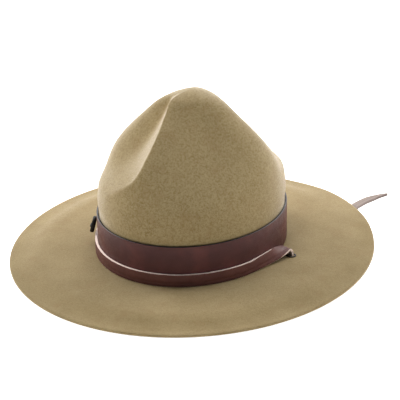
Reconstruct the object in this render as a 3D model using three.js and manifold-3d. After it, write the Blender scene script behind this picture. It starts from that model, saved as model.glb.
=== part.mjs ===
// Campaign hat: a blocked felt body with a four-dent peak and a wide flat brim, a leather band with a
// buckle round the crown's foot, and a narrow chin strap that goes down through two eyelets in the brim.
// Millimetres, +Z up. The floor is z = 0, the hat's front is -Y, and the origin is the centre of the head
// opening at the level of the floor.
import * as THREE from "three";
import Module from "manifold-3d";
import { mergeVertices } from "three/addons/utils/BufferGeometryUtils.js";

const wasm = await Module();
wasm.setup();

const RAD = Math.PI / 180;

// Rows of a table as objects that carry the column names
function table(columns, rows) {
  return rows.map((row) => Object.fromEntries(columns.map((name, i) => [name, row[i]])));
}

// Felt body
const FELT_WALL = 2.2;
const FOOT_HALF_LENGTH = 102.5; // outside of the crown at its foot, front to back
const FOOT_HALF_WIDTH = 86.0; // outside of the crown at its foot, side to side
const CROWN_HEIGHT = 149.5; // from the brim's top to the peak
const FOOT_ROUND = 2.0; // inside radius where the crown turns into the brim
const BRIM_WIDTH = 86.0; // from the crown's foot to the cut edge
const BRIM_REST_WIDTH = 7.0; // flat ring under the rim that the hat rests on
const RIM_ROUND = 0.5; // easing of the cut edge

// Leather band
const BAND_HEIGHT = 36.2;
const BAND_THICKNESS = 2.0;
const BAND_LIFT = 1.6; // band's lower edge above the brim
const BAND_BEVEL = 0.5;

// Chin strap
const STRAP_WIDTH = 12.7;
const STRAP_THICKNESS = 2.4;
const STRAP_ARCH_RISE = 7.0; // top of the turn over an eyelet, above the brim
const STRAP_ARCH_RUN = 9.5; // from the eyelet to where the strap tips over
const STRAP_ARCH_BULGE = 2.2; // outwards, there
const STRAP_PEEL_TURN = 7.0; // degrees over which the strap comes off the band
const STRAP_PEEL_OUT = 1.8; // how far it is off by then
const STRAP_PEEL_RISE = 0.8;
const STRAP_PEEL_LEAN = 74.0; // degrees from flat, by then
const STRAP_TAIL_LENGTH = 55.0; // free end past the brim
const STRAP_POINT_LENGTH = 16.0;
const STRAP_POINT_WIDTH = 2.0;
const TAIL_BEND = 34.0; // degrees that the free end turns outwards
const TAIL_EXIT_TURN = 135.0; // where the free end passes the brim, degrees round from the front
const STRAP_LEAVES_TURN = 66.0; // where the strap leaves the band at the right, degrees from the front

// Eyelets and the keeper under the brim
const EYELET_TURN = 86.0; // the right one, degrees from the front
const LEFT_SIDE_BACK = 22.0; // degrees that the left side's eyelet and turn of the strap lie further back
const EYELET_OUT = 11.0; // centre, out from the crown's foot
const EYELET_SPLAY = 28.6; // degrees that the strap points outwards of the foot's oval, at the eyelet
const EYELET_OPENING_WIDTH = 5.4;
const EYELET_END_CLEARANCE = 1.1; // at each edge of the strap
const EYELET_FACE_CLEARANCE = 1.0; // between the strap's outer face and the eyelet
const EYELET_WALL = 0.6;
const EYELET_FLANGE = 1.7;
const EYELET_FLANGE_THICKNESS = 0.6;
const KEEPER_LENGTH = 16.0;
const KEEPER_THICKNESS = 0.7;
const KEEPER_ALONG = 0.42; // share of the straight run from the right eyelet to the rim

// Band buckle
const BUCKLE_TURN = -69.0; // degrees round from the front
const BUCKLE_HEIGHT = 16.5;
const BUCKLE_LENGTH = 14.0;
const BUCKLE_WIRE = 2.6; // thickness of the frame's wire
const BUCKLE_BAR = 1.6;
const BUCKLE_LOW_EDGE = 15.6; // above the floor
const PRONG_THICKNESS = 1.4;

// Clearances
const GAP = 0.3; // between pieces that lie on each other

// Heights that follow
const BRIM_RISE = STRAP_THICKNESS + GAP + KEEPER_THICKNESS + GAP; // room under the brim, at the crown's foot
const EXIT_RISE = STRAP_THICKNESS + GAP; // room under the rim where the free end passes
const BRIM_TOP = BRIM_RISE + FELT_WALL;
const EYELET_OPENING_LENGTH = STRAP_WIDTH + 2 * EYELET_END_CLEARANCE;
const BAND_OFFSET = GAP; // band's inner face, out from the crown's foot
const STRAP_OFFSET = BAND_OFFSET + BAND_THICKNESS + GAP; // strap's inner face, out from the crown's foot

// Crown, from the brim's top (height 0) to the peak (height 1). The reach columns, from front to back, are
// shares of the foot's reach along the ridges and in the middle of the dents. crestTurn is where the front
// ridge runs, in degrees round from the front by the hat's right.
const CROWN_ROWS = table(
  ["height", "front", "leftDent", "rightDent", "side", "backDent", "back", "crestTurn"],
  [
    [0.0, 1.0, 1.0, 1.0, 1.0, 1.0, 1.0, -42],
    [0.26, 1.0, 1.0, 1.0, 1.0, 1.0, 1.0, -42],
    [0.33, 1.02, 1.02, 1.02, 1.0, 1.05, 1.02, -42],
    [0.43, 1.005, 0.99, 1.0, 0.98, 1.015, 1.005, -40],
    [0.52, 0.975, 0.87, 0.94, 0.952, 0.86, 0.975, -28],
    [0.6, 0.935, 0.7, 0.82, 0.899, 0.69, 0.925, -16],
    [0.68, 0.86, 0.565, 0.67, 0.804, 0.525, 0.84, -12],
    [0.76, 0.725, 0.44, 0.53, 0.675, 0.415, 0.7, -11],
    [0.84, 0.53, 0.33, 0.405, 0.526, 0.363, 0.515, -14],
    [0.915, 0.35, 0.24, 0.295, 0.377, 0.32, 0.34, -22],
    [0.97, 0.235, 0.175, 0.2, 0.195, 0.195, 0.22, -32],
    [1.0, 0.0, 0.0, 0.0, 0.0, 0.0, 0.0, -36],
  ],
);
const SIDE_RIDGE_TURN = 92.0; // degrees from the front

// Dents, by the ridges they lie between. Share is where a dent is deepest, from its first ridge to its
// second. Each end says how its wall starts at that ridge: 1 or less is a sharp crease, 2 a rounded ridge.
const DENT_ROWS = table(
  ["dent", "first", "second", "share", "firstEnd", "secondEnd"],
  [
    ["backDent", "back", "side", 0.5, 1.5, 2],
    ["leftDent", "side", "front", 0.55, 2, 0.75],
    ["rightDent", "front", "side", 0.48, 1.5, 2],
    ["backDent", "side", "back", 0.5, 2, 1.5],
  ],
);

// Brim, from the crown's foot (out 0) to the rest ring (out 1): how much of the room under it is left
const BRIM_ROWS = table(
  ["out", "rise"],
  [
    [0.0, 1.0],
    [0.35, 1.0],
    [0.68, 1.0],
    [0.8, 0.72],
    [0.9, 0.26],
    [1.0, 0.0],
  ],
);
// Rim round the free end: degrees each side of it that are fully lifted, and by where the lift has gone
const EXIT_FULL_LIFT = 10.0;
const EXIT_LIFT_END = 34.0;

// The strap's rear run, under the brim round the back of the head opening: turn in degrees from the front by
// the hat's right, out as a share of the brim's width
const REAR_RUN_ROWS = table(
  ["turn", "out"],
  [
    [-122, 0.31],
    [-135, 0.33],
    [-157, 0.35],
    [-180, 0.37],
    [-202, 0.41],
    [-222, 0.46],
  ],
);

// The strap's turn over an eyelet, from the brim's top down to where it meets the band: along is the share of
// the arch's run back towards the front, rise the share of its rise, out the share of its bulge, and lean how
// far the strap has tipped from flat towards standing on edge, in degrees
const TURN_OVER_ROWS = table(
  ["along", "rise", "out", "lean"],
  [
    [0.0, 0.23, 0.0, 0],
    [0.1, 0.74, 0.0, 0],
    [0.44, 1.0, 0.0, 4],
    [1.0, 0.97, 1.0, 30],
  ],
);

// Mesh fineness
const TURNS = 64; // stations round the felt
const BAND_TURNS = 72;
const SLOT_CORNER_STEPS = 6;
const TURN_OVER_STEPS = 3; // between two rows
const FRONT_RUN_STEPS = 22;
const STRAIGHT_RUN_STEPS = 7;
const REAR_RUN_STEPS = 4; // between two rows
const TAIL_STEPS = 10;
const BUCKLE_STEPS = 28;
const WIRE_SIDES = 8;

// Point on the foot's oval, pushed out along the oval's normal. Turn 0 is the front, 90 the hat's +X side.
function ovalPoint(turn, out, z = 0) {
  const s = Math.sin(turn * RAD);
  const c = Math.cos(turn * RAD);
  const normal = new THREE.Vector2(s * FOOT_HALF_LENGTH, -c * FOOT_HALF_WIDTH).normalize();
  return new THREE.Vector3(
    FOOT_HALF_WIDTH * s + out * normal.x,
    -FOOT_HALF_LENGTH * c + out * normal.y,
    z,
  );
}

// Monotone cubic through a table's column, with the row number as its variable. A level end has no slope.
function columnAt(rows, name, place, levelEnd = false) {
  const last = rows.length - 1;
  const i = Math.min(Math.floor(place), last - 1);
  const t = place - i;
  const value = (k) => rows[k][name];
  const step = (k) => value(k + 1) - value(k);
  const slope = (k) => {
    if (k === 0) return step(0);
    if (k === last) return levelEnd ? 0 : step(last - 1);
    const before = step(k - 1);
    const after = step(k);
    return before * after > 0 ? (2 * before * after) / (before + after) : 0;
  };
  const t2 = t * t;
  const t3 = t2 * t;
  return (
    (2 * t3 - 3 * t2 + 1) * value(i) +
    (t3 - 2 * t2 + t) * slope(i) +
    (3 * t2 - 2 * t3) * value(i + 1) +
    (t3 - t2) * slope(i + 1)
  );
}

// How deep a dent is, 0 on the ridge and 1 in its middle
function dentDepth(share, end) {
  return Math.sin((Math.PI / 2) * THREE.MathUtils.clamp(share, 0, 1)) ** end;
}

function crownReach(place, turn) {
  const at = (name) => columnAt(CROWN_ROWS, name, place);
  const ridgeTurns = [-180, -SIDE_RIDGE_TURN, at("crestTurn"), SIDE_RIDGE_TURN, 180];
  const i = ridgeTurns.findIndex((ridgeTurn, k) => k > 0 && turn <= ridgeTurn) - 1;
  const row = DENT_ROWS[i];
  const share = (turn - ridgeTurns[i]) / (ridgeTurns[i + 1] - ridgeTurns[i]);
  if (share <= row.share) {
    return THREE.MathUtils.lerp(at(row.first), at(row.dent), dentDepth(share / row.share, row.firstEnd));
  }
  const depth = dentDepth((1 - share) / (1 - row.share), row.secondEnd);
  return THREE.MathUtils.lerp(at(row.second), at(row.dent), depth);
}

// One ring of the crown's outer skin, or of its inner skin one wall further in
function crownRing(place, inset) {
  const height = columnAt(CROWN_ROWS, "height", place, true);
  return ring((turn) => {
    const reach = crownReach(place, turn);
    return new THREE.Vector3(
      (FOOT_HALF_WIDTH - inset) * Math.sin(turn * RAD) * reach,
      -(FOOT_HALF_LENGTH - inset) * Math.cos(turn * RAD) * reach,
      BRIM_TOP + (CROWN_HEIGHT - inset) * height,
    );
  });
}

function ring(pointAt) {
  const points = [];
  for (let i = 0; i < TURNS; i += 1) {
    points.push(pointAt(-180 + (360 * i) / TURNS));
  }
  return points;
}

function smoothStep(share) {
  const t = Math.min(Math.max(share, 0), 1);
  return t * t * (3 - 2 * t);
}

// Underside of the brim above the floor
function brimUnderside(turn, out) {
  const share = Math.min(out / (BRIM_WIDTH - BRIM_REST_WIDTH), 1);
  let i = 0;
  while (i < BRIM_ROWS.length - 2 && share > BRIM_ROWS[i + 1].out) i += 1;
  const span = BRIM_ROWS[i + 1].out - BRIM_ROWS[i].out;
  const rise = columnAt(BRIM_ROWS, "rise", i + Math.min((share - BRIM_ROWS[i].out) / span, 1));
  const fromExit = Math.abs(((turn - TAIL_EXIT_TURN + 540) % 360) - 180);
  const lift = smoothStep((EXIT_LIFT_END - fromExit) / (EXIT_LIFT_END - EXIT_FULL_LIFT));
  return BRIM_RISE * rise + EXIT_RISE * lift * (1 - rise);
}

function brimRing(out, aboveUnderside) {
  return ring((turn) => ovalPoint(turn, out, brimUnderside(turn, out) + aboveUnderside));
}

// Rounded turn between crown and brim: angle 0 is the crown's wall, 90 the brim
function footRing(angle, wall) {
  const radius = FOOT_ROUND + wall;
  const out = FOOT_ROUND - radius * Math.cos(angle * RAD);
  const z = BRIM_TOP + FOOT_ROUND - radius * Math.sin(angle * RAD);
  return ring((turn) => ovalPoint(turn, out, z));
}

// Closed body from rings of points: capped by poles, or by flat ends, or closed on itself
function geometryFrom(points, faces) {
  const positions = new Float32Array(points.length * 3);
  points.forEach((point, i) => positions.set([point.x, point.y, point.z], 3 * i));
  let volume = 0;
  for (const [a, b, c] of faces) {
    volume += points[a].dot(new THREE.Vector3().crossVectors(points[b], points[c]));
  }
  const outward = volume < 0 ? faces.map(([a, b, c]) => [a, c, b]) : faces;
  const geometry = new THREE.BufferGeometry();
  geometry.setAttribute("position", new THREE.BufferAttribute(positions, 3));
  geometry.setIndex(outward.flat());
  geometry.computeVertexNormals();
  return geometry;
}

function stitchRings(faces, ringA, ringB, count) {
  for (let i = 0; i < count; i += 1) {
    const j = (i + 1) % count;
    faces.push([ringA + i, ringA + j, ringB + j], [ringA + i, ringB + j, ringB + i]);
  }
}

// Rings between two poles
function skinBetweenPoles(firstPole, rings, lastPole) {
  const count = rings[0].length;
  const points = [firstPole, ...rings.flat(), lastPole];
  const faces = [];
  for (let i = 0; i < count; i += 1) {
    faces.push([0, 1 + ((i + 1) % count), 1 + i]);
  }
  for (let k = 0; k + 1 < rings.length; k += 1) {
    stitchRings(faces, 1 + k * count, 1 + (k + 1) * count, count);
  }
  const lastRing = 1 + (rings.length - 1) * count;
  for (let i = 0; i < count; i += 1) {
    faces.push([points.length - 1, lastRing + i, lastRing + ((i + 1) % count)]);
  }
  return geometryFrom(points, faces);
}

// Sections swept along a path that ends, with flat ends
function sweptStrip(sections) {
  const count = sections[0].length;
  const faces = [];
  for (let k = 0; k + 1 < sections.length; k += 1) {
    stitchRings(faces, k * count, (k + 1) * count, count);
  }
  const last = (sections.length - 1) * count;
  for (let i = 1; i + 1 < count; i += 1) {
    faces.push([0, i + 1, i], [last, last + i, last + i + 1]);
  }
  return geometryFrom(sections.flat(), faces);
}

// Sections swept round a loop
function sweptLoop(sections) {
  const count = sections[0].length;
  const faces = [];
  for (let k = 0; k < sections.length; k += 1) {
    stitchRings(faces, k * count, ((k + 1) % sections.length) * count, count);
  }
  return geometryFrom(sections.flat(), faces);
}

function solidFrom(geometry) {
  const bare = geometry.clone();
  bare.deleteAttribute("normal");
  bare.deleteAttribute("uv");
  const merged = mergeVertices(bare);
  return new wasm.Manifold(
    new wasm.Mesh({
      numProp: 3,
      vertProperties: new Float32Array(merged.attributes.position.array),
      triVerts: new Uint32Array(merged.index.array),
    }),
  );
}

function geometryOf(solid) {
  const mesh = solid.getMesh();
  const geometry = new THREE.BufferGeometry();
  geometry.setAttribute("position", new THREE.BufferAttribute(mesh.vertProperties, 3));
  geometry.setIndex(new THREE.BufferAttribute(mesh.triVerts, 1));
  geometry.computeVertexNormals();
  return geometry;
}

function piece(name, geometry, finish) {
  const mesh = new THREE.Mesh(geometry, new THREE.MeshStandardMaterial(finish));
  mesh.name = name;
  return mesh;
}

// Degrees round from the front by the hat's right of a place that the two sides share. Side is 1 for the
// hat's +X side and -1 for the other.
function turnAt(side, turn) {
  return side > 0 ? turn : -turn - LEFT_SIDE_BACK;
}

// Frame of an eyelet: its centre, the way the strap points through it, and across the strap towards the
// crown
function eyeletFrame(side) {
  const turn = turnAt(side, EYELET_TURN);
  const along = Math.atan2(
    FOOT_HALF_LENGTH * Math.sin(Math.abs(turn) * RAD),
    FOOT_HALF_WIDTH * Math.cos(Math.abs(turn) * RAD),
  );
  const angle = along - EYELET_SPLAY * RAD;
  const heading = new THREE.Vector3(Math.cos(angle) * side, Math.sin(angle), 0);
  return {
    centre: ovalPoint(turn, EYELET_OUT),
    heading,
    across: new THREE.Vector3(-heading.y * side, heading.x * side, 0),
    angle: Math.atan2(heading.y, heading.x) - Math.PI / 2,
  };
}

// Rounded slot outline, long along x, that far larger than the eyelet's opening all round
function slotShape(grow) {
  const radius = EYELET_OPENING_WIDTH / 2 + grow;
  const half = EYELET_OPENING_LENGTH / 2 + grow - radius;
  const shape = new THREE.Shape();
  shape.moveTo(-half, -radius);
  shape.lineTo(half, -radius);
  shape.absarc(half, 0, radius, -Math.PI / 2, Math.PI / 2, false);
  shape.lineTo(-half, radius);
  shape.absarc(-half, 0, radius, Math.PI / 2, (3 * Math.PI) / 2, false);
  return shape;
}

function slotPrism(side, grow, low, high) {
  const frame = eyeletFrame(side);
  const geometry = new THREE.ExtrudeGeometry(slotShape(grow), {
    depth: high - low,
    bevelEnabled: false,
    curveSegments: SLOT_CORNER_STEPS,
  });
  geometry.rotateZ(frame.angle);
  geometry.translate(frame.centre.x, frame.centre.y, low);
  return solidFrom(geometry);
}

function eyeletBody(side) {
  const underside = BRIM_RISE + GAP;
  const flangeLow = BRIM_TOP + GAP;
  const flangeHigh = flangeLow + EYELET_FLANGE_THICKNESS;
  const barrel = slotPrism(side, EYELET_WALL, underside, flangeHigh);
  const flange = slotPrism(side, EYELET_WALL + EYELET_FLANGE, flangeLow, flangeHigh);
  const opening = slotPrism(side, 0, underside - 1, flangeHigh + 1);
  return geometryOf(barrel.add(flange).subtract(opening));
}

function feltBody() {
  const lastRow = CROWN_ROWS.length - 1;
  const places = [];
  for (let place = 1; place < lastRow; place += 0.5) places.push(place);
  const brimOuts = BRIM_ROWS.slice(1).map((row) => row.out * (BRIM_WIDTH - BRIM_REST_WIDTH));
  const footAngles = [0, 45, 90];
  const outer = [
    ...places.map((place) => crownRing(place, 0)).reverse(),
    ...footAngles.map((angle) => footRing(angle, 0)),
    ...brimOuts.map((out) => brimRing(out, FELT_WALL)),
    brimRing(BRIM_WIDTH - RIM_ROUND, FELT_WALL),
    brimRing(BRIM_WIDTH, FELT_WALL - RIM_ROUND),
  ];
  const inner = [
    brimRing(BRIM_WIDTH, RIM_ROUND),
    brimRing(BRIM_WIDTH - RIM_ROUND, 0),
    ...brimOuts.map((out) => brimRing(out, 0)).reverse(),
    ...footAngles.map((angle) => footRing(angle, FELT_WALL)).reverse(),
    ...places.map((place) => crownRing(place, FELT_WALL)),
  ];
  const peak = new THREE.Vector3(0, 0, BRIM_TOP + CROWN_HEIGHT);
  const innerPeak = new THREE.Vector3(0, 0, BRIM_TOP + CROWN_HEIGHT - FELT_WALL);
  let solid = solidFrom(skinBetweenPoles(peak, [...outer, ...inner], innerPeak));
  for (const side of [1, -1]) {
    solid = solid.subtract(slotPrism(side, EYELET_WALL + GAP, 0, 2 * BRIM_TOP));
  }
  return geometryOf(solid);
}

function hatBand() {
  const low = BRIM_TOP + BAND_LIFT;
  const high = low + BAND_HEIGHT;
  const inner = BAND_OFFSET;
  const outer = BAND_OFFSET + BAND_THICKNESS;
  const sections = [];
  for (let i = 0; i < BAND_TURNS; i += 1) {
    const turn = (360 * i) / BAND_TURNS;
    sections.push([
      ovalPoint(turn, inner, low),
      ovalPoint(turn, outer - BAND_BEVEL, low),
      ovalPoint(turn, outer, low + BAND_BEVEL),
      ovalPoint(turn, outer, high - BAND_BEVEL),
      ovalPoint(turn, outer - BAND_BEVEL, high),
      ovalPoint(turn, inner, high),
    ]);
  }
  return sweptLoop(sections);
}

// A place on the strap: its centre, the way across it, and its width there
function strapPlace(centre, across, width = STRAP_WIDTH) {
  return { centre, across, width };
}

// Smooth stretch through a few places
function smoothStretch(places, steps) {
  const centres = new THREE.CatmullRomCurve3(places.map((place) => place.centre));
  const acrosses = new THREE.CatmullRomCurve3(places.map((place) => place.across));
  const count = (places.length - 1) * steps;
  const stretch = [];
  for (let i = 0; i <= count; i += 1) {
    stretch.push(strapPlace(centres.getPoint(i / count), acrosses.getPoint(i / count).normalize()));
  }
  return stretch;
}

// From under the brim up through an eyelet, over, and down on edge against the band
function strapTurnOver(side) {
  const { centre, heading, across } = eyeletFrame(side);
  const floorLevel = STRAP_THICKNESS / 2;
  const throughAt = (EYELET_OPENING_WIDTH - STRAP_THICKNESS) / 2 - EYELET_FACE_CLEARANCE;
  const bend = BRIM_RISE + GAP - floorLevel;
  const midBend = bend * (1 - Math.SQRT1_2);
  const over = (along, z, out = 0) =>
    centre.clone().addScaledVector(heading, along).addScaledVector(across, -out).setZ(z);
  const leaning = (angle) => across.clone().multiplyScalar(Math.cos(angle * RAD)).setZ(Math.sin(angle * RAD));
  const onEdge = BRIM_TOP + GAP + STRAP_WIDTH / 2;
  const againstBand = STRAP_OFFSET + STRAP_THICKNESS / 2;
  const leaves = turnAt(side, STRAP_LEAVES_TURN);
  const peeled = leaves + STRAP_PEEL_TURN * side;
  const arch = TURN_OVER_ROWS.map((row) =>
    strapPlace(
      over(
        throughAt - row.along * STRAP_ARCH_RUN,
        BRIM_TOP + row.rise * STRAP_ARCH_RISE,
        row.out * STRAP_ARCH_BULGE,
      ),
      leaning(row.lean),
    ),
  );
  return smoothStretch(
    [
      strapPlace(over(throughAt + 3 * bend, floorLevel), leaning(0)),
      strapPlace(over(throughAt + bend, floorLevel), leaning(0)),
      strapPlace(over(throughAt + midBend, floorLevel + midBend), leaning(0)),
      strapPlace(over(throughAt, floorLevel + bend), leaning(0)),
      ...arch,
      strapPlace(
        ovalPoint(peeled, againstBand + STRAP_PEEL_OUT, onEdge + STRAP_PEEL_RISE),
        leaning(STRAP_PEEL_LEAN),
      ),
      strapPlace(ovalPoint(leaves, againstBand, onEdge), new THREE.Vector3(0, 0, 1)),
    ],
    TURN_OVER_STEPS,
  );
}

// Straight under the brim from the right eyelet to the rim, then the free end, bending outwards to its point
function strapTail(start) {
  const exit = ovalPoint(TAIL_EXIT_TURN, BRIM_WIDTH, start.centre.z);
  const way = exit.clone().sub(start.centre).normalize();
  const tail = [];
  for (let i = 1; i <= STRAIGHT_RUN_STEPS; i += 1) {
    const centre = start.centre.clone().lerp(exit, i / STRAIGHT_RUN_STEPS);
    tail.push(strapPlace(centre, new THREE.Vector3(-way.y, way.x, 0)));
  }
  let heading = Math.atan2(way.y, way.x);
  let centre = exit.clone();
  for (let i = 1; i <= TAIL_STEPS; i += 1) {
    heading -= (TAIL_BEND * RAD) / TAIL_STEPS;
    const step = STRAP_TAIL_LENGTH / TAIL_STEPS;
    const stride = new THREE.Vector3(Math.cos(heading), Math.sin(heading), 0).multiplyScalar(step);
    centre = centre.clone().add(stride);
    const toTip = STRAP_TAIL_LENGTH - i * step;
    const share = Math.min(toTip / STRAP_POINT_LENGTH, 1);
    const width = STRAP_POINT_WIDTH + (STRAP_WIDTH - STRAP_POINT_WIDTH) * Math.sqrt(share);
    tail.push(strapPlace(centre, new THREE.Vector3(-Math.sin(heading), Math.cos(heading), 0), width));
  }
  return tail;
}

// Where the rear run ends, alongside the straight run from the right eyelet
function keeperFrame(start) {
  const exit = ovalPoint(TAIL_EXIT_TURN, BRIM_WIDTH, start.centre.z);
  const way = exit.clone().sub(start.centre).normalize();
  const inward = new THREE.Vector3(-way.y, way.x, 0);
  const along = KEEPER_ALONG * exit.distanceTo(start.centre);
  const onRun = start.centre.clone().addScaledVector(way, along);
  const beside = onRun.clone().addScaledVector(inward, STRAP_WIDTH + GAP);
  return { onRun, beside, way, inward };
}

// Under the brim round the back of the head opening, to the keeper
function strapRearRun(start, keeper) {
  const z = start.centre.z;
  const centres = [
    start.centre.clone(),
    ...REAR_RUN_ROWS.map((row) => ovalPoint(row.turn, row.out * BRIM_WIDTH, z)),
    keeper.beside.clone().addScaledVector(keeper.way, KEEPER_LENGTH),
    keeper.beside.clone().addScaledVector(keeper.way, -KEEPER_LENGTH / 2),
  ];
  const curve = new THREE.CatmullRomCurve3(centres);
  const steps = (centres.length - 1) * REAR_RUN_STEPS;
  const run = [];
  for (let i = 1; i <= steps; i += 1) {
    const way = curve.getTangent(i / steps);
    run.push(strapPlace(curve.getPoint(i / steps), new THREE.Vector3(way.y, -way.x, 0).normalize()));
  }
  return run;
}

function strapPlaces() {
  const right = strapTurnOver(1);
  const left = strapTurnOver(-1);
  const tail = strapTail(right[0]);
  const front = [];
  const againstBand = STRAP_OFFSET + STRAP_THICKNESS / 2;
  for (let i = 1; i < FRONT_RUN_STEPS; i += 1) {
    const turn = THREE.MathUtils.lerp(
      turnAt(1, STRAP_LEAVES_TURN),
      turnAt(-1, STRAP_LEAVES_TURN),
      i / FRONT_RUN_STEPS,
    );
    const centre = ovalPoint(turn, againstBand, BRIM_TOP + GAP + STRAP_WIDTH / 2);
    front.push(strapPlace(centre, new THREE.Vector3(0, 0, 1)));
  }
  const rear = strapRearRun(left[0], keeperFrame(right[0]));
  return [...tail.reverse(), ...right, ...front, ...left.reverse(), ...rear];
}

function chinStrap() {
  const places = strapPlaces();
  const sections = places.map((place, i) => {
    const before = places[Math.max(i - 1, 0)].centre;
    const after = places[Math.min(i + 1, places.length - 1)].centre;
    const way = after.clone().sub(before).normalize();
    const face = new THREE.Vector3().crossVectors(way, place.across).normalize();
    const across = new THREE.Vector3().crossVectors(face, way).normalize();
    const corner = (a, b) =>
      place.centre
        .clone()
        .addScaledVector(across, (a * place.width) / 2)
        .addScaledVector(face, (b * STRAP_THICKNESS) / 2);
    return [corner(1, 1), corner(-1, 1), corner(-1, -1), corner(1, -1)];
  });
  return sweptStrip(sections);
}

// Plain plate over the two lengths of strap, under the brim
function strapKeeper() {
  const { onRun, beside, way } = keeperFrame(strapTurnOver(1)[0]);
  const across = 2 * STRAP_WIDTH + GAP;
  const geometry = new THREE.BoxGeometry(across, KEEPER_LENGTH, KEEPER_THICKNESS);
  geometry.rotateZ(Math.atan2(way.y, way.x) - Math.PI / 2);
  const centre = onRun.clone().add(beside).multiplyScalar(0.5);
  geometry.translate(centre.x, centre.y, STRAP_THICKNESS + GAP + KEEPER_THICKNESS / 2);
  return geometry;
}

// Buckle's own frame: x along the band, y up the buckle, z out from the band. It leans out at its lower edge,
// where it stands over the strap.
function placeBuckle(geometry) {
  const radius = BUCKLE_WIRE / 2;
  const topOut = BAND_OFFSET + BAND_THICKNESS + 2 * GAP + radius;
  const lowOut = STRAP_OFFSET + STRAP_THICKNESS + 2 * GAP + radius;
  const outward = ovalPoint(BUCKLE_TURN, 1).sub(ovalPoint(BUCKLE_TURN, 0));
  const low = ovalPoint(BUCKLE_TURN, lowOut, BUCKLE_LOW_EDGE + radius);
  const rise = BUCKLE_HEIGHT - BUCKLE_WIRE;
  const up = outward.clone().multiplyScalar(topOut - lowOut).setZ(rise).normalize();
  const along = new THREE.Vector3().crossVectors(up, outward).normalize();
  const out = new THREE.Vector3().crossVectors(along, up);
  const centre = low.clone().addScaledVector(up, rise / 2);
  geometry.applyMatrix4(new THREE.Matrix4().makeBasis(along, up, out).setPosition(centre));
  return geometry;
}

function wireSection(centre, sideways, out, radius) {
  const section = [];
  for (let k = 0; k < WIRE_SIDES; k += 1) {
    const angle = ((2 * Math.PI) / WIRE_SIDES) * (k + 0.5);
    section.push(
      centre
        .clone()
        .addScaledVector(sideways, radius * Math.cos(angle))
        .addScaledVector(out, radius * Math.sin(angle)),
    );
  }
  return section;
}

function rod(from, to, radius) {
  const way = to.clone().sub(from).normalize();
  const out = new THREE.Vector3(0, 0, 1);
  const sideways = new THREE.Vector3().crossVectors(out, way).normalize();
  return sweptStrip([wireSection(from, sideways, out, radius), wireSection(to, sideways, out, radius)]);
}

function bandBuckle() {
  const halfLength = (BUCKLE_LENGTH - BUCKLE_WIRE) / 2;
  const halfHeight = (BUCKLE_HEIGHT - BUCKLE_WIRE) / 2;
  const out = new THREE.Vector3(0, 0, 1);
  const sections = [];
  for (let i = 0; i < BUCKLE_STEPS; i += 1) {
    const angle = (2 * Math.PI * i) / BUCKLE_STEPS;
    const centre = new THREE.Vector3(halfLength * Math.cos(angle), halfHeight * Math.sin(angle), 0);
    const normal = new THREE.Vector3(Math.cos(angle) / halfLength, Math.sin(angle) / halfHeight, 0);
    sections.push(wireSection(centre, normal.normalize(), out, BUCKLE_WIRE / 2));
  }
  const frame = solidFrom(sweptLoop(sections));
  const barEnd = new THREE.Vector3(0, halfHeight, 0);
  const bar = solidFrom(rod(barEnd.clone().negate(), barEnd, BUCKLE_BAR / 2));
  return placeBuckle(geometryOf(frame.add(bar)));
}

function buckleProng() {
  const halfLength = (BUCKLE_LENGTH - BUCKLE_WIRE) / 2;
  const over = BUCKLE_WIRE / 2 + PRONG_THICKNESS / 2 + GAP;
  const overBar = BUCKLE_BAR / 2 + PRONG_THICKNESS / 2 + GAP;
  const from = new THREE.Vector3(-BUCKLE_BAR / 2, 0, overBar);
  const to = new THREE.Vector3(halfLength + BUCKLE_WIRE / 2, 0, over);
  return placeBuckle(rod(from, to, PRONG_THICKNESS / 2));
}

const FELT = { color: 0xa8946e, roughness: 0.95, metalness: 0 };
const LEATHER = { color: 0x45292a, roughness: 0.45, metalness: 0 };
const DARK_METAL = { color: 0x1b1715, roughness: 0.4, metalness: 0.9 };

const campaignHat = new THREE.Group();
campaignHat.add(piece("felt_body", feltBody(), FELT));
campaignHat.add(piece("hat_band", hatBand(), LEATHER));
campaignHat.add(piece("band_buckle", bandBuckle(), DARK_METAL));
campaignHat.add(piece("buckle_prong", buckleProng(), DARK_METAL));
campaignHat.add(piece("chin_strap", chinStrap(), LEATHER));
campaignHat.add(piece("strap_keeper", strapKeeper(), DARK_METAL));
campaignHat.add(piece("strap_eyelet_right", eyeletBody(1), DARK_METAL));
campaignHat.add(piece("strap_eyelet_left", eyeletBody(-1), DARK_METAL));

export default campaignHat;
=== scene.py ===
"""Campaign hat: the looks of a blocked fur felt hat with a leather band and a narrow chin strap.

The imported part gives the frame: metres, +Z up, the floor at z = 0, the hat's front towards -Y, and the origin
at the centre of the head opening. Sizes below are in millimetres, as a maker writes them, and `MM` turns them
into metres.
"""

import logging
import math
from dataclasses import dataclass, field
from enum import Enum
from typing import Any, Sequence

import bpy
import numpy as np
from mathutils import Matrix, Vector

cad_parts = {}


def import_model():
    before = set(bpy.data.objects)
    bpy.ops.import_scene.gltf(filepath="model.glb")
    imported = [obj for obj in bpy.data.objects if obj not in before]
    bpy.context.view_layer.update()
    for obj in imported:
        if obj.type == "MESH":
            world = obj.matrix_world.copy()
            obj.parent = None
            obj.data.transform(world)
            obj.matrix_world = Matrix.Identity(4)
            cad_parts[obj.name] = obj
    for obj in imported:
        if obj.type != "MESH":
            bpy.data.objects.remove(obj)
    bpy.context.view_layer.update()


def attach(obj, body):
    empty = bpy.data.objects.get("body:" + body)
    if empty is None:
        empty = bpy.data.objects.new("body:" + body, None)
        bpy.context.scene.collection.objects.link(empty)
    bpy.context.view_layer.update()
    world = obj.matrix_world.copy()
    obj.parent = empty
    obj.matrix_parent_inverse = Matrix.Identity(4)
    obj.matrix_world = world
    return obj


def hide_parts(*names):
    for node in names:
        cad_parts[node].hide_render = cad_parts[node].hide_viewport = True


LOG = logging.getLogger("campaign_hat")
MM = 0.001
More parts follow.
